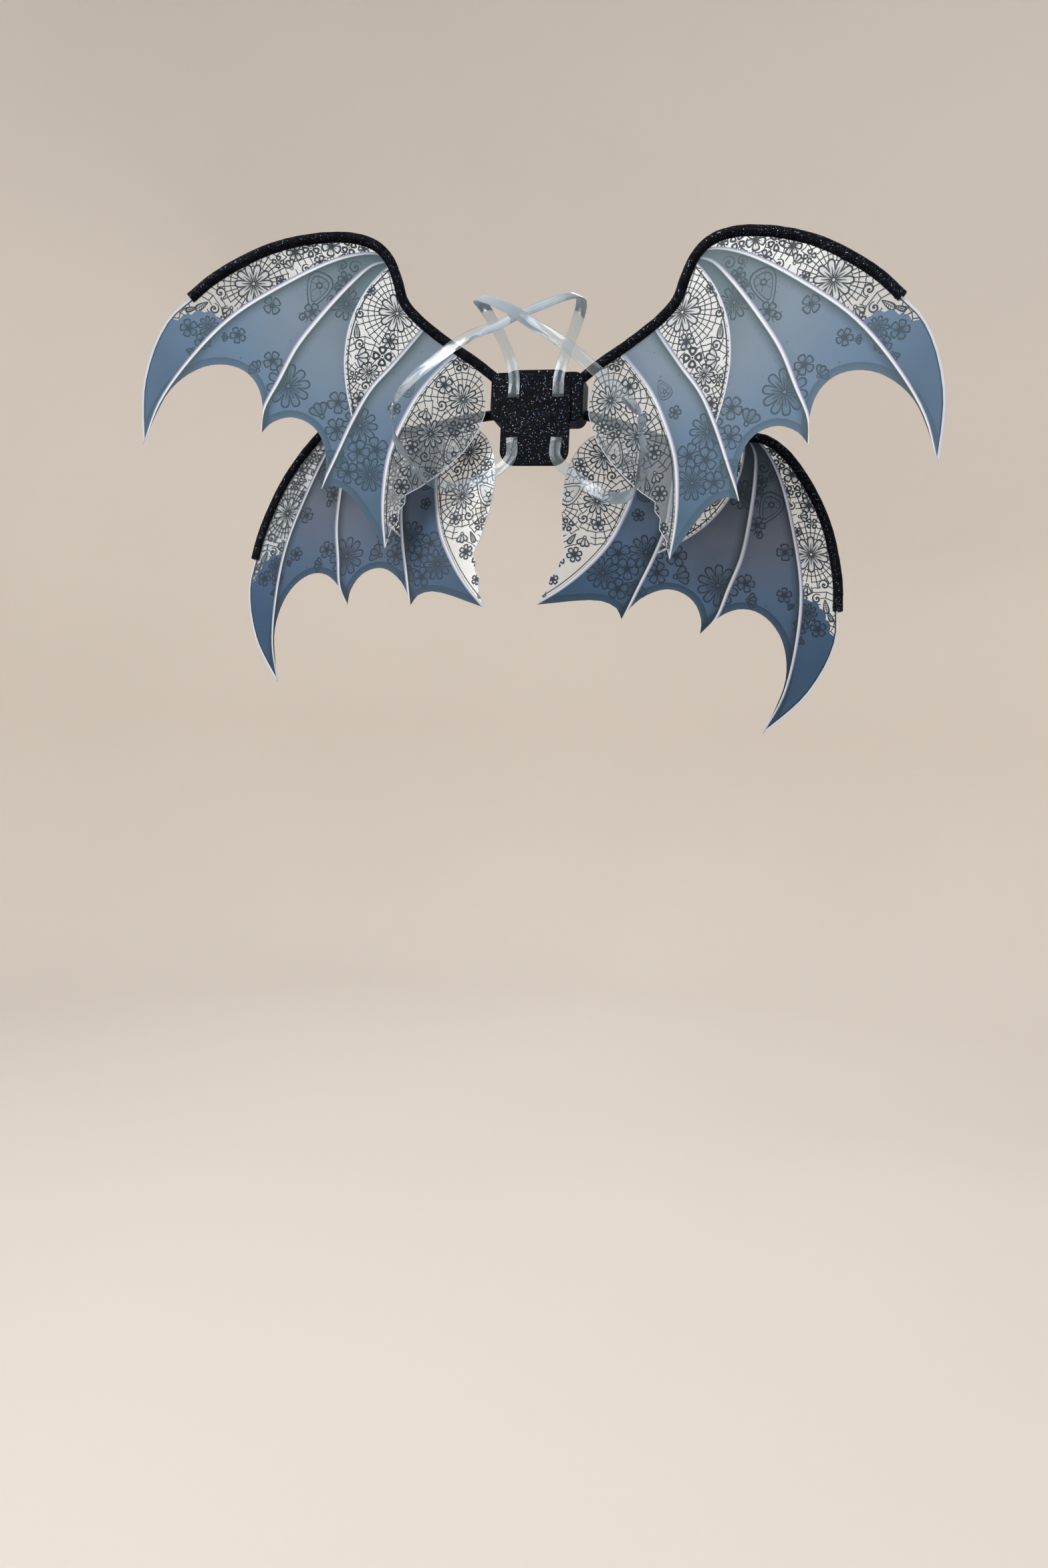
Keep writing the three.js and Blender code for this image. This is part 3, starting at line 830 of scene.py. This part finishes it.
def flat_print(art, outline, grid):
    """Cuts the film into triangles along every shape's edge, and says which shapes each lies in."""
    points, faces = [], []
    for shape in art.shapes:
        if "rib" in shape:
            shape["centre_line"] = rib_line(shape["rib"])
        faces.append(list(range(len(points), len(points) + len(shape["points"]))))
        points += shape["points"]
    low = Vector((min(p.x for p in outline), min(p.y for p in outline)))
    high = Vector((max(p.x for p in outline), max(p.y for p in outline)))
    for row in range(1, int((high.y - low.y) / grid)):
        for column in range(int((high.x - low.x) / grid)):
            points.append(low + Vector((column + 0.5 * (row % 2), row)) * grid)
    made = delaunay_2d_cdt(points, [], faces, 1, 1e-3, True)
    vertices, triangles, owners = made[0], made[2], made[5]
    kept = [(face, owner) for face, owner in zip(triangles, owners) if 0 in owner and len(face) == 3]
    return vertices, kept


def corner_colours(art, pair_colours, vertices, kept):
    """Colour and opacity for each corner of each triangle."""
    colours, known = [], {}
    for face, owners in kept:
        owners = tuple(sorted(owners))
        blue = any(art.shapes[i]["paint"] == "ground" for i in owners)
        ground = "blue" if blue else "lace"
        shown = [art.shapes[i] for i in owners if art.shapes[i].get("only", ground) == ground]
        solid = [s for s in shown if s["paint"] not in ("band", "shadow")][-1]
        tints = []
        if blue and solid["paint"] not in ("rib", "light"):
            tints = [s for s in shown if s["paint"] in ("band", "shadow")]
        for corner in face:
            if (corner, owners) not in known:
                point = vertices[corner]
                colour, opacity = solid_colour(pair_colours, solid, point, blue)
                for tint in tints:
                    colour = tinted(pair_colours, tint, point, colour)
                known[corner, owners] = (*colour, opacity)
            colours.append(known[corner, owners])
    return colours


def film_outline():
    """The film's cut line in the print plane, read from a CAD film."""
    shape = bmesh.new()
    shape.from_mesh(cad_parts["wing_film_upper_right"].data)
    bmesh.ops.remove_doubles(shape, verts=shape.verts, dist=0.01 * MM)
    shape.transform(wing_matrix("upper", "right").inverted())
    shape.normal_update()
    front = {face for face in shape.faces if face.normal.y < -0.9}
    rim = {}
    for face in front:
        for loop in face.loops:
            if sum(other in front for other in loop.edge.link_faces) == 1:
                rim[loop.vert] = loop.link_loop_next.vert
    start = next(iter(rim))
    line, here = [], start
    while not line or here is not start:
        line.append(Vector((here.co.x, -here.co.z)))
        here = rim[here]
    shape.free()
    return line


def wing_matrix(level, side):
    """From the print plane, as (u, towards the back, -v) in millimetres, to the scene in metres."""
    place = WING_PLACES[level]
    parts = [
        Matrix.Scale(MM, 4),
        Matrix.Diagonal((SIDES[side], 1, 1, 1)),
        Matrix.Translation(place["root"]),
        Matrix.Rotation(math.radians(place["sweep"]), 4, "Z"),
        Matrix.Rotation(math.radians(-place["tilt"]), 4, "X"),
        Matrix.Rotation(math.radians(place["turn"][side]), 4, "Y"),
        Matrix.Translation((-FRAME_ROOT.x, 0, FRAME_ROOT.y)),
    ]
    whole = Matrix.Identity(4)
    for part in parts:
        whole = whole @ part
    return whole


# Pieces

def piece(name, mesh, material, replaced=(), smooth=True):
    """A finished mesh as a piece of the object, riding on its body."""
    made = bpy.data.objects.new(name, mesh)
    bpy.context.scene.collection.objects.link(made)
    if material is not None:
        mesh.materials.clear()
        mesh.materials.append(material)
    for polygon in mesh.polygons:
        polygon.use_smooth = smooth
    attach(made, BODY)
    if replaced:
        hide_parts(*replaced)
    return made


def film_mesh(name, vertices, kept, colours, matrix, thickness):
    """The print on both faces of a thin sheet, with its cut edge."""
    count = len(vertices)
    half = thickness / MM / 2
    places = [matrix @ Vector((v.x, -half, -v.y)) for v in vertices]
    places += [matrix @ Vector((v.x, half, -v.y)) for v in vertices]
    faces, tones, owner = [], [], {}
    for number, (face, _) in enumerate(kept):
        corners = colours[3 * number:3 * number + 3]
        faces.append(tuple(face))
        tones += corners
        faces.append(tuple(i + count for i in reversed(face)))
        tones += corners[::-1]
        for k in range(3):
            owner.setdefault(frozenset((face[k], face[(k + 1) % 3])), []).append((number, k))
    for users in owner.values():
        if len(users) == 1:
            number, k = users[0]
            face = kept[number][0]
            a, b = face[k], face[(k + 1) % 3]
            faces.append((b, a, a + count, b + count))
            tone_a, tone_b = colours[3 * number + k], colours[3 * number + (k + 1) % 3]
            tones += [tone_b, tone_a, tone_a, tone_b]
    mesh = bpy.data.meshes.new(name)
    mesh.from_pydata([tuple(p) for p in places], [], faces)
    # The print's colours at each corner; on the lower pair they are darkened as painted shade
    layer = mesh.color_attributes.new("print", "FLOAT_COLOR", "CORNER")
    layer.data.foreach_set("color", [part for tone in tones for part in tone])
    flat = mesh.uv_layers.new(name="print_plane")
    corner_places = []
    for loop in mesh.loops:
        vertex = vertices[loop.vertex_index % count]
        corner_places += [vertex.x * MM, -vertex.y * MM]
    flat.data.foreach_set("uv", corner_places)
    shape = bmesh.new()
    shape.from_mesh(mesh)
    loose = [v for v in shape.verts if not v.link_faces]
    bmesh.ops.delete(shape, geom=loose, context="VERTS")
    bmesh.ops.recalc_face_normals(shape, faces=shape.faces)
    shape.to_mesh(mesh)
    shape.free()
    return mesh


def film_material(settings):
    """Glossy clear film, with ink where the print says so."""
    material, graph = new_material("printed_film")
    # The print's colours, with painted shade on the lower pair
    ink = graph.add("ShaderNodeVertexColor", {"layer_name": "print"})
    plane = graph.add("ShaderNodeUVMap", {"uv_map": "print_plane"})["UV"]
    clouds = graph.add("ShaderNodeTexNoise", {}, {"Vector": plane, "Scale": 16.0, "Detail": 4.0})["Fac"]
    grain = graph.add("ShaderNodeTexNoise", {}, {"Vector": plane, "Scale": 420.0, "Detail": 2.0})["Fac"]
    specks = graph.add("ShaderNodeTexNoise", {}, {"Vector": plane, "Scale": 110.0, "Detail": 1.0})["Fac"]
    tone = 1 + settings.mottle * (clouds * 2 - 1) + 0.05 * (grain * 2 - 1) - 0.25 * (specks > 0.74)
    shaded = graph.add("ShaderNodeVectorMath", {"operation": "SCALE"}, {
        0: ink["Color"], "Scale": tone})[0]
    bump = graph.add("ShaderNodeBump", {}, {"Strength": 0.12, "Distance": 0.0004, "Height": grain})
    rough = graph.stretch(clouds, 0.3, 0.7, 0.42, 0.55)
    printed = graph.add("ShaderNodeBsdfPrincipled", {}, {
        "Base Color": shaded, "Roughness": rough, "Normal": bump["Normal"], "Specular IOR Level": 0.28})
    gloss = graph.add("ShaderNodeBsdfAnisotropic", {}, {"Color": (1, 1, 1, 1), "Roughness": 0.14})
    through = graph.add("ShaderNodeBsdfTransparent", {}, {"Color": (0.96, 0.98, 1.0, 1)})
    mirror = graph.add("ShaderNodeFresnel", {}, {"IOR": 1.5})["Fac"]
    clear = graph.add("ShaderNodeMixShader", {}, {0: mirror, 1: through[0], 2: gloss[0]})
    surface = graph.add("ShaderNodeMixShader", {}, {0: ink["Alpha"], 1: clear[0], 2: printed[0]})
    finish_material(graph, surface[0])
    return material


class DRAGON_WINGS_OT_films(bpy.types.Operator):
    """Prints the four wing films and puts them in place of the CAD films"""

    bl_idname = "dragon_wings.films"
    bl_label = "Wing Films"

    def execute(self, context):
        settings = context.scene.dragon_wings_film
        outline = film_outline()
        art = draw_print(outline)
        vertices, kept = flat_print(art, outline, settings.grid / MM)
        material = film_material(settings)
        colours = {level: corner_colours(art, palette_of(level), vertices, kept) for level in WING_PLACES}
        for level, side in WINGS:
            name = f"film_{level}_{side}"
            matrix = wing_matrix(level, side)
            mesh = film_mesh(name, vertices, kept, colours[level], matrix, settings.thickness)
            piece(name, mesh, material, [f"wing_film_{level}_{side}"], smooth=False)
        return {"FINISHED"}


# Foam tubes

TUBE_SIDES = 20
TUBE_STEPS = 220
ROUNDED_STEPS = 4  # over which the tube's cut end is rounded


def foam_material(name, settings, bump_strength=0.5):
    """Black foam with glitter ground into it."""
    material, graph = new_material(name)
    place = graph.add("ShaderNodeTexCoord")["Object"]
    cells = graph.add("ShaderNodeTexVoronoi", {}, {"Vector": place, "Scale": 1900.0})
    sparkle = graph.add("ShaderNodeSeparateColor", {}, {"Color": cells["Color"]})
    bright = sparkle["Red"] > 0.985
    dust = graph.add("ShaderNodeTexNoise", {}, {"Vector": place, "Scale": 90.0, "Detail": 5.0})["Fac"]
    dusty = graph.stretch(dust, 0.3, 0.8, 0.0, 1.0)
    base = graph.mix(dusty, (*settings.foam, 1), (0.006, 0.007, 0.010, 1))
    glint = graph.mix(sparkle["Green"], (0.12, 0.2, 0.42, 1), (0.5, 0.55, 0.62, 1))
    colour = graph.mix(bright, base, glint)
    bump = graph.add("ShaderNodeBump", {}, {
        "Strength": bump_strength, "Distance": 0.0004, "Height": dust + 0.4 * cells["Distance"]})
    surface = graph.add("ShaderNodeBsdfPrincipled", {}, {
        "Base Color": colour, "Metallic": bright * 0.9, "Roughness": 0.46 - 0.2 * bright,
        "Normal": bump["Normal"], "Specular IOR Level": 0.03})
    finish_material(graph, surface[0])
    return material


def flake_material():
    """Silver-blue glitter flakes."""
    material, graph = new_material("glitter_flakes")
    place = graph.add("ShaderNodeTexCoord")["Object"]
    hue = graph.add("ShaderNodeTexNoise", {}, {"Vector": place, "Scale": 700.0})["Fac"]
    pale = graph.stretch(hue, 0.4, 0.6, 0.0, 1.0)
    colour = graph.mix(pale, (0.42, 0.52, 0.72, 1), (0.86, 0.88, 0.9, 1))
    surface = graph.add("ShaderNodeBsdfPrincipled", {}, {
        "Base Color": colour, "Metallic": 1.0, "Roughness": 0.22})
    finish_material(graph, surface[0])
    return material


def geometry_tree(name, inputs):
    """A Geometry Nodes tree with named inputs, each a socket type and its default."""
    tree = bpy.data.node_groups.new(name, "GeometryNodeTree")
    tree.interface.new_socket("Geometry", in_out="INPUT", socket_type="NodeSocketGeometry")
    for label, (kind, default) in inputs.items():
        socket = tree.interface.new_socket(label, in_out="INPUT", socket_type=kind)
        if default is not None:
            socket.default_value = default
    tree.interface.new_socket("Geometry", in_out="OUTPUT", socket_type="NodeSocketGeometry")
    return tree, Graph(tree)


def grown(name, mesh, tree, values):
    """The mesh that a Geometry Nodes tree makes from another one."""
    source = bpy.data.objects.new(name + "_source", mesh)
    bpy.context.scene.collection.objects.link(source)
    modifier = source.modifiers.new("grow", "NODES")
    modifier.node_group = tree
    for item in tree.interface.items_tree:
        if item.in_out == "INPUT" and item.name in values:
            modifier[item.identifier] = values[item.name]
    graph = bpy.context.evaluated_depsgraph_get()
    result = bpy.data.meshes.new_from_object(source.evaluated_get(graph))
    result.name = name
    source.modifiers.remove(modifier)
    bpy.data.objects.remove(source)
    return result


def flakes_on(graph, surface, inside):
    """Glitter flakes scattered on a surface, each tilted a little, as real faces."""
    points = graph.add("GeometryNodeDistributePointsOnFaces", {}, {
        "Mesh": surface, "Density": inside["Density"], "Seed": inside["Seed"]})
    flake = graph.add("GeometryNodeMeshCone", {"fill_type": "TRIANGLE_FAN"}, {
        "Vertices": 5, "Radius Top": 0.0, "Radius Bottom": inside["Flake"],
        "Depth": inside["Flake"] * 0.35})
    size = graph.add("FunctionNodeRandomValue", {"data_type": "FLOAT"}, {
        2: 0.5, 3: 1.25, "Seed": inside["Seed"]})[1]
    placed = graph.add("GeometryNodeInstanceOnPoints", {}, {
        "Points": points["Points"], "Instance": flake["Mesh"], "Rotation": points["Rotation"],
        "Scale": size})
    tilt = graph.add("FunctionNodeRandomValue", {"data_type": "FLOAT_VECTOR"}, {
        0: (-0.5, -0.5, -3.0), 1: (0.5, 0.5, 3.0), "Seed": inside["Seed"]})[0]
    turned = graph.add("GeometryNodeRotateInstances", {}, {"Instances": placed[0], "Rotation": tilt})
    real = graph.add("GeometryNodeRealizeInstances", {}, {"Geometry": turned[0]})
    return graph.add("GeometryNodeSetMaterial", {}, {
        "Geometry": real[0], "Material": inside["Glitter"]})[0]


def tube_tree():
    """A foam tube along a line, with the line's own girth, lumps and glitter."""
    tree, graph = geometry_tree("foam_tube", {
        "Radius": ("NodeSocketFloat", 0.006), "Lumps": ("NodeSocketFloat", 0.0005),
        "Flake": ("NodeSocketFloat", 0.0003), "Density": ("NodeSocketFloat", 1.0),
        "Seed": ("NodeSocketInt", 1), "Foam": ("NodeSocketMaterial", None),
        "Glitter": ("NodeSocketMaterial", None)})
    inside = graph.add("NodeGroupInput")
    girth = graph.add("GeometryNodeInputNamedAttribute", {"data_type": "FLOAT"}, {"Name": "girth"})[0]
    line = graph.add("GeometryNodeMeshToCurve", {}, {"Mesh": inside["Geometry"]})[0]
    line = graph.add("GeometryNodeSetCurveRadius", {}, {"Curve": line, "Radius": girth})[0]
    ring = graph.add("GeometryNodeCurvePrimitiveCircle", {}, {
        "Resolution": TUBE_SIDES, "Radius": inside["Radius"]})
    tube = graph.add("GeometryNodeCurveToMesh", {}, {
        "Curve": line, "Profile Curve": ring["Curve"], "Fill Caps": True})[0]
    place = graph.add("GeometryNodeInputPosition")[0]
    noise = graph.add("ShaderNodeTexNoise", {}, {"Vector": place, "Scale": 95.0, "Detail": 3.0})["Fac"]
    normal = graph.add("GeometryNodeInputNormal")[0]
    push = graph.add("ShaderNodeVectorMath", {"operation": "SCALE"}, {
        0: normal, "Scale": (noise - 0.5) * inside["Lumps"] * 2})[0]
    tube = graph.add("GeometryNodeSetPosition", {}, {"Geometry": tube, "Offset": push})[0]
    flakes = flakes_on(graph, tube, inside)
    foam = graph.add("GeometryNodeSetMaterial", {}, {"Geometry": tube, "Material": inside["Foam"]})[0]
    joined = graph.add("GeometryNodeJoinGeometry")
    for part in (foam, flakes):
        graph.tree.links.new(part.socket, joined.node.inputs[0])
    graph.add("NodeGroupOutput", {}, {0: joined[0]})
    return tree


def end_girth(steps_left):
    """The tube's girth, as a share, so many steps before its cut end."""
    near = max(0.0, 1 - steps_left / ROUNDED_STEPS)
    return 1.0 - 0.5 * (1 - math.sqrt(1 - near ** 2))


def line_mesh(name, points, girths):
    """A chain of edges with a girth at each point."""
    mesh = bpy.data.meshes.new(name)
    mesh.from_pydata([tuple(p) for p in points], [(i, i + 1) for i in range(len(points) - 1)], [])
    layer = mesh.attributes.new("girth", "FLOAT", "POINT")
    layer.data.foreach_set("value", girths)
    return mesh


class DRAGON_WINGS_OT_tubes(bpy.types.Operator):
    """Makes the four foam tubes, with their glitter"""

    bl_idname = "dragon_wings.tubes"
    bl_label = "Foam Tubes"

    def execute(self, context):
        settings = context.scene.dragon_wings_tube
        tree = tube_tree()
        foam, glitter = foam_material("tube_foam", settings), flake_material()
        flat = smooth_line([(u * CLAW_REACH, v * WING_DEPTH) for u, v in TUBE_LINE], TUBE_STEPS)
        girths = [end_girth(TUBE_STEPS - i) for i in range(TUBE_STEPS + 1)]
        for number, (level, side) in enumerate(WINGS):
            matrix = wing_matrix(level, side)
            source = line_mesh("tube_line", [matrix @ Vector((p.x, 0, -p.y)) for p in flat], girths)
            name = f"tube_{level}_{side}"
            mesh = grown(name, source, tree, {
                "Radius": settings.radius, "Lumps": settings.lumps, "Flake": settings.flake,
                "Density": settings.density, "Seed": number + 1, "Foam": foam, "Glitter": glitter})
            made = piece(name, mesh, None, [f"wing_tube_{level}_{side}"])
        return {"FINISHED"}


# Plate, straps and sliders

def merged_copy(node, name):
    """A copy of a CAD node's mesh with its loose triangles joined."""
    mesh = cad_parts[node].data.copy()
    mesh.name = name
    shape = bmesh.new()
    shape.from_mesh(mesh)
    bmesh.ops.remove_doubles(shape, verts=shape.verts, dist=0.01 * MM)
    shape.to_mesh(mesh)
    shape.free()
    return mesh


def bevelled(mesh, name, width, angle, segments=2):
    """The mesh with its sharp edges rounded."""
    holder = bpy.data.objects.new(name, mesh)
    bpy.context.scene.collection.objects.link(holder)
    modifier = holder.modifiers.new("edges", "BEVEL")
    modifier.width = width
    modifier.segments = segments
    modifier.limit_method = "ANGLE"
    modifier.angle_limit = math.radians(angle)
    graph = bpy.context.evaluated_depsgraph_get()
    result = bpy.data.meshes.new_from_object(holder.evaluated_get(graph))
    result.name = name
    holder.modifiers.remove(modifier)
    bpy.data.objects.remove(holder)
    return result


def strap_material(settings):
    """Clear elastic: glass-like, a little milky."""
    material, graph = new_material("clear_strap")
    place = graph.add("ShaderNodeTexCoord")["Object"]
    waves = graph.add("ShaderNodeTexNoise", {}, {"Vector": place, "Scale": 60.0, "Detail": 2.0})["Fac"]
    bump = graph.add("ShaderNodeBump", {}, {"Strength": 0.25, "Distance": 0.0006, "Height": waves})
    gloss = graph.add("ShaderNodeBsdfAnisotropic", {}, {
        "Color": (1, 1, 1, 1), "Roughness": 0.12, "Normal": bump["Normal"]})
    through = graph.add("ShaderNodeBsdfTransparent", {}, {"Color": (*settings.tint, 1)})
    haze = graph.add("ShaderNodeBsdfPrincipled", {}, {
        "Base Color": (0.55, 0.63, 0.7, 1), "Roughness": 0.25, "Normal": bump["Normal"]})
    mirror = graph.add("ShaderNodeFresnel", {}, {"IOR": 1.5, "Normal": bump["Normal"]})["Fac"]
    rim = graph.add("ShaderNodeLayerWeight", {}, {"Blend": 0.35})["Facing"]
    clear = graph.add("ShaderNodeMixShader", {}, {0: mirror, 1: through[0], 2: gloss[0]})
    milky = graph.stretch(rim, 0.2, 0.8, 0.05, 0.34)
    finish_material(graph, graph.add("ShaderNodeMixShader", {}, {0: milky, 1: clear[0], 2: haze[0]})[0])
    return material


def slider_material():
    """Bright plated metal with fine wear."""
    material, graph = new_material("slider_metal")
    place = graph.add("ShaderNodeTexCoord")["Object"]
    wear = graph.add("ShaderNodeTexNoise", {}, {"Vector": place, "Scale": 600.0, "Detail": 4.0})["Fac"]
    surface = graph.add("ShaderNodeBsdfPrincipled", {}, {
        "Base Color": (0.8, 0.81, 0.83, 1), "Metallic": 1.0,
        "Roughness": graph.stretch(wear, 0.3, 0.7, 0.12, 0.3)})
    finish_material(graph, surface[0])
    return material


class DRAGON_WINGS_OT_straps(bpy.types.Operator):
    """Rounds the clear straps and gives them their finish"""

    bl_idname = "dragon_wings.straps"
    bl_label = "Clear Straps"

    def execute(self, context):
        settings = context.scene.dragon_wings_harness
        material = strap_material(settings)
        for run in ("shoulder_strap", "side_strap"):
            for side in SIDES:
                node = f"{run}_{side}"
                mesh = bevelled(merged_copy(node, node), f"{node}_clear", settings.edge_round, 50)
                piece(f"{node}_clear", mesh, material, [node])
        return {"FINISHED"}


class DRAGON_WINGS_OT_sliders(bpy.types.Operator):
    """Rounds the metal strap sliders and gives them their finish"""

    bl_idname = "dragon_wings.sliders"
    bl_label = "Strap Sliders"

    def execute(self, context):
        material = slider_material()
        for side in SIDES:
            node = f"slider_{side}"
            mesh = bevelled(merged_copy(node, node), f"{node}_metal", 0.25 * MM, 25)
            piece(f"{node}_metal", mesh, material, [node])
        return {"FINISHED"}


class DRAGON_WINGS_OT_plate(bpy.types.Operator):
    """Gives the back plate its foam finish and glitter"""

    bl_idname = "dragon_wings.plate"
    bl_label = "Back Plate"

    def execute(self, context):
        settings = context.scene.dragon_wings_tube
        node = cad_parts["back_plate"]
        node.data.materials.clear()
        node.data.materials.append(foam_material("plate_foam", settings, 0.35))
        return {"FINISHED"}


# Stage

CAMERA_PLACE = (0.32098, -1.53273, -0.41156)
CAMERA_AZIMUTH = 11.55
CAMERA_PITCH = 2.58  # downwards
CAMERA_ROLL = -2.6
IMAGE_HEIGHT = 2345
FOCAL_PIXELS = 1761
SENSOR = 36
BACKDROP_BEND = 0.9
BACKDROP_SIDES = 96
GLARE_REACH = 2.0
WINDOW_COLOUR = (0.88, 0.96, 1.0)
# Each lamp's place, what it points at, its size, power and colour
LIGHTS = {
    "key": ((-1.5, -2.3, 1.6), (0, 0, -0.1), (1.6, 1.6), 64, (1.0, 0.99, 0.97)),
    "fill": ((1.9, -1.9, 0.5), (0, 0, -0.1), (1.4, 1.4), 6, (0.95, 0.98, 1.0)),
    "back": ((0.4, 2.4, 1.5), (0, 0.4, -0.2), (2.0, 1.0), 26, (1, 1, 1)),
}
# The place in each upper wing's print plane that mirrors a window, and the window's size and power
GLARES = {"left": ((10, 35), (0.5, 0.5), 3.5), "right": ((40, 10), (0.55, 0.7), 4)}


def camera_matrix():
    """The camera's axes from its azimuth, pitch and roll, and its place."""
    azimuth, pitch, roll = (math.radians(a) for a in (CAMERA_AZIMUTH, CAMERA_PITCH, CAMERA_ROLL))
    ahead = Vector((
        -math.sin(azimuth) * math.cos(pitch), math.cos(azimuth) * math.cos(pitch), -math.sin(pitch)))
    level = Vector((math.cos(azimuth), math.sin(azimuth), 0))
    down = ahead.cross(level)
    right = math.cos(roll) * level + math.sin(roll) * down
    down = math.cos(roll) * down - math.sin(roll) * level
    axes = Matrix((right, -down, -ahead)).transposed().to_4x4()
    return Matrix.Translation(CAMERA_PLACE) @ axes


def area_light(name, place, target, size, power, colour):
    data = bpy.data.lights.new(name, "AREA")
    data.shape = "RECTANGLE"
    data.size, data.size_y = size
    data.energy = power
    data.color = colour
    lamp = bpy.data.objects.new(name, data)
    lamp.location = place
    lamp.rotation_euler = (Vector(target) - Vector(place)).to_track_quat("-Z", "Y").to_euler()
    bpy.context.scene.collection.objects.link(lamp)
    return lamp


def mirrored_place(spot, matrix):
    """Where the camera looks, by way of a wing's glossy film, at a place in the print plane."""
    target = matrix @ Vector((spot[0], 0, -spot[1]))
    normal = (matrix.to_3x3() @ Vector((0, 1, 0))).normalized()
    ahead = (target - Vector(CAMERA_PLACE)).normalized()
    return target + ahead.reflect(normal) * GLARE_REACH, target


def backdrop_mesh(settings):
    """A round floor that curves up into a wall."""
    flat = settings.radius - BACKDROP_BEND
    profile = [(flat * i / 6, 0.0) for i in range(1, 7)]
    for step in range(1, 10):
        turn = math.radians(10 * step)
        profile.append((flat + BACKDROP_BEND * math.sin(turn), BACKDROP_BEND * (1 - math.cos(turn))))
    profile += [(settings.radius, BACKDROP_BEND + i) for i in range(1, 4)]
    shape = bmesh.new()
    rows = []
    for radius, height in profile:
        turns = (2 * math.pi * k / BACKDROP_SIDES for k in range(BACKDROP_SIDES))
        ring = [(radius * math.cos(turn), radius * math.sin(turn), settings.floor + height) for turn in turns]
        rows.append([shape.verts.new(place) for place in ring])
    centre = shape.verts.new((0, 0, settings.floor))
    for k in range(BACKDROP_SIDES):
        following = (k + 1) % BACKDROP_SIDES
        shape.faces.new((centre, rows[0][k], rows[0][following]))
        for lower, upper in zip(rows, rows[1:]):
            shape.faces.new((lower[k], upper[k], upper[following], lower[following]))
    mesh = bpy.data.meshes.new("backdrop")
    shape.to_mesh(mesh)
    shape.free()
    for polygon in mesh.polygons:
        polygon.use_smooth = True
    mesh.materials.append(backdrop_material(settings))
    return mesh


def backdrop_material(settings):
    """A plain pale studio surface with the faintest unevenness."""
    material, graph = new_material("backdrop")
    place = graph.add("ShaderNodeTexCoord")["Object"]
    clouds = graph.add("ShaderNodeTexNoise", {}, {"Vector": place, "Scale": 1.2, "Detail": 2.0})["Fac"]
    darker = tuple(c * 0.95 for c in settings.colour)
    colour = graph.mix(clouds, (*darker, 1), (*settings.colour, 1))
    surface = graph.add("ShaderNodeBsdfPrincipled", {}, {
        "Base Color": colour, "Roughness": 0.9, "Specular IOR Level": 0.1})
    finish_material(graph, surface[0])
    return material


class DRAGON_WINGS_OT_stage(bpy.types.Operator):
    """Sets up the round backdrop, the lights and the camera"""

    bl_idname = "dragon_wings.stage"
    bl_label = "Stage"

    def execute(self, context):
        settings = context.scene.dragon_wings_stage
        stage = bpy.data.objects.new("backdrop", backdrop_mesh(settings))
        context.scene.collection.objects.link(stage)
        stage.visible_glossy = False

        world = bpy.data.worlds.new("studio")
        context.scene.world = world
        world.use_nodes = True
        graph = Graph(world.node_tree)
        ray = graph.add("ShaderNodeTexCoord")["Generated"]
        way = graph.add("ShaderNodeSeparateXYZ", {}, {"Vector": ray})
        above = graph.stretch(way["Z"], -0.5, 0.7, 0.25, 0.8)
        strength = above * graph.stretch(way["X"], -0.7, 0.7, 1.25, 0.7)
        sky = graph.add("ShaderNodeBackground", {}, {"Color": (0.97, 0.98, 1.0, 1), "Strength": strength})
        graph.add("ShaderNodeOutputWorld", {}, {"Surface": sky[0]})
        context.scene.view_settings.view_transform = "Standard"

        for name, light in LIGHTS.items():
            area_light(name, *light)
        for side, (spot, size, power) in GLARES.items():
            place, target = mirrored_place(spot, wing_matrix("upper", side))
            area_light(f"window_{side}", place, target, size, power, WINDOW_COLOUR)

        data = bpy.data.cameras.new("photo_camera")
        data.sensor_width = SENSOR
        data.lens = SENSOR * FOCAL_PIXELS / IMAGE_HEIGHT
        camera = bpy.data.objects.new("photo_camera", data)
        camera.matrix_world = camera_matrix()
        context.scene.collection.objects.link(camera)
        context.scene.camera = camera
        return {"FINISHED"}


class DRAGON_WINGS_PT_panel(bpy.types.Panel):
    """Lists the steps that dress the wings"""

    bl_label = "Dragon Wings"
    bl_idname = "DRAGON_WINGS_PT_panel"
    bl_space_type = "VIEW_3D"
    bl_region_type = "UI"
    bl_category = "Dragon Wings"

    def draw(self, context):
        for operator in OPERATORS:
            self.layout.operator(operator.bl_idname)


OPERATORS = (
    DRAGON_WINGS_OT_stage,
    DRAGON_WINGS_OT_films,
    DRAGON_WINGS_OT_tubes,
    DRAGON_WINGS_OT_plate,
    DRAGON_WINGS_OT_straps,
    DRAGON_WINGS_OT_sliders,
)
SETTINGS = {
    "dragon_wings_film": FilmSettings,
    "dragon_wings_tube": TubeSettings,
    "dragon_wings_harness": HarnessSettings,
    "dragon_wings_stage": StageSettings,
}


def register():
    for name, settings in SETTINGS.items():
        bpy.utils.register_class(settings)
        setattr(bpy.types.Scene, name, bpy.props.PointerProperty(type=settings))
    for entry in OPERATORS + (DRAGON_WINGS_PT_panel,):
        bpy.utils.register_class(entry)


def unregister():
    for entry in reversed(OPERATORS + (DRAGON_WINGS_PT_panel,)):
        bpy.utils.unregister_class(entry)
    for name, settings in SETTINGS.items():
        delattr(bpy.types.Scene, name)
        bpy.utils.unregister_class(settings)


def main():
    register()
    bpy.ops.dragon_wings.stage()
    bpy.ops.dragon_wings.films()
    bpy.ops.dragon_wings.tubes()
    bpy.ops.dragon_wings.plate()
    bpy.ops.dragon_wings.straps()
    bpy.ops.dragon_wings.sliders()


if __name__ == "__main__":
    main()
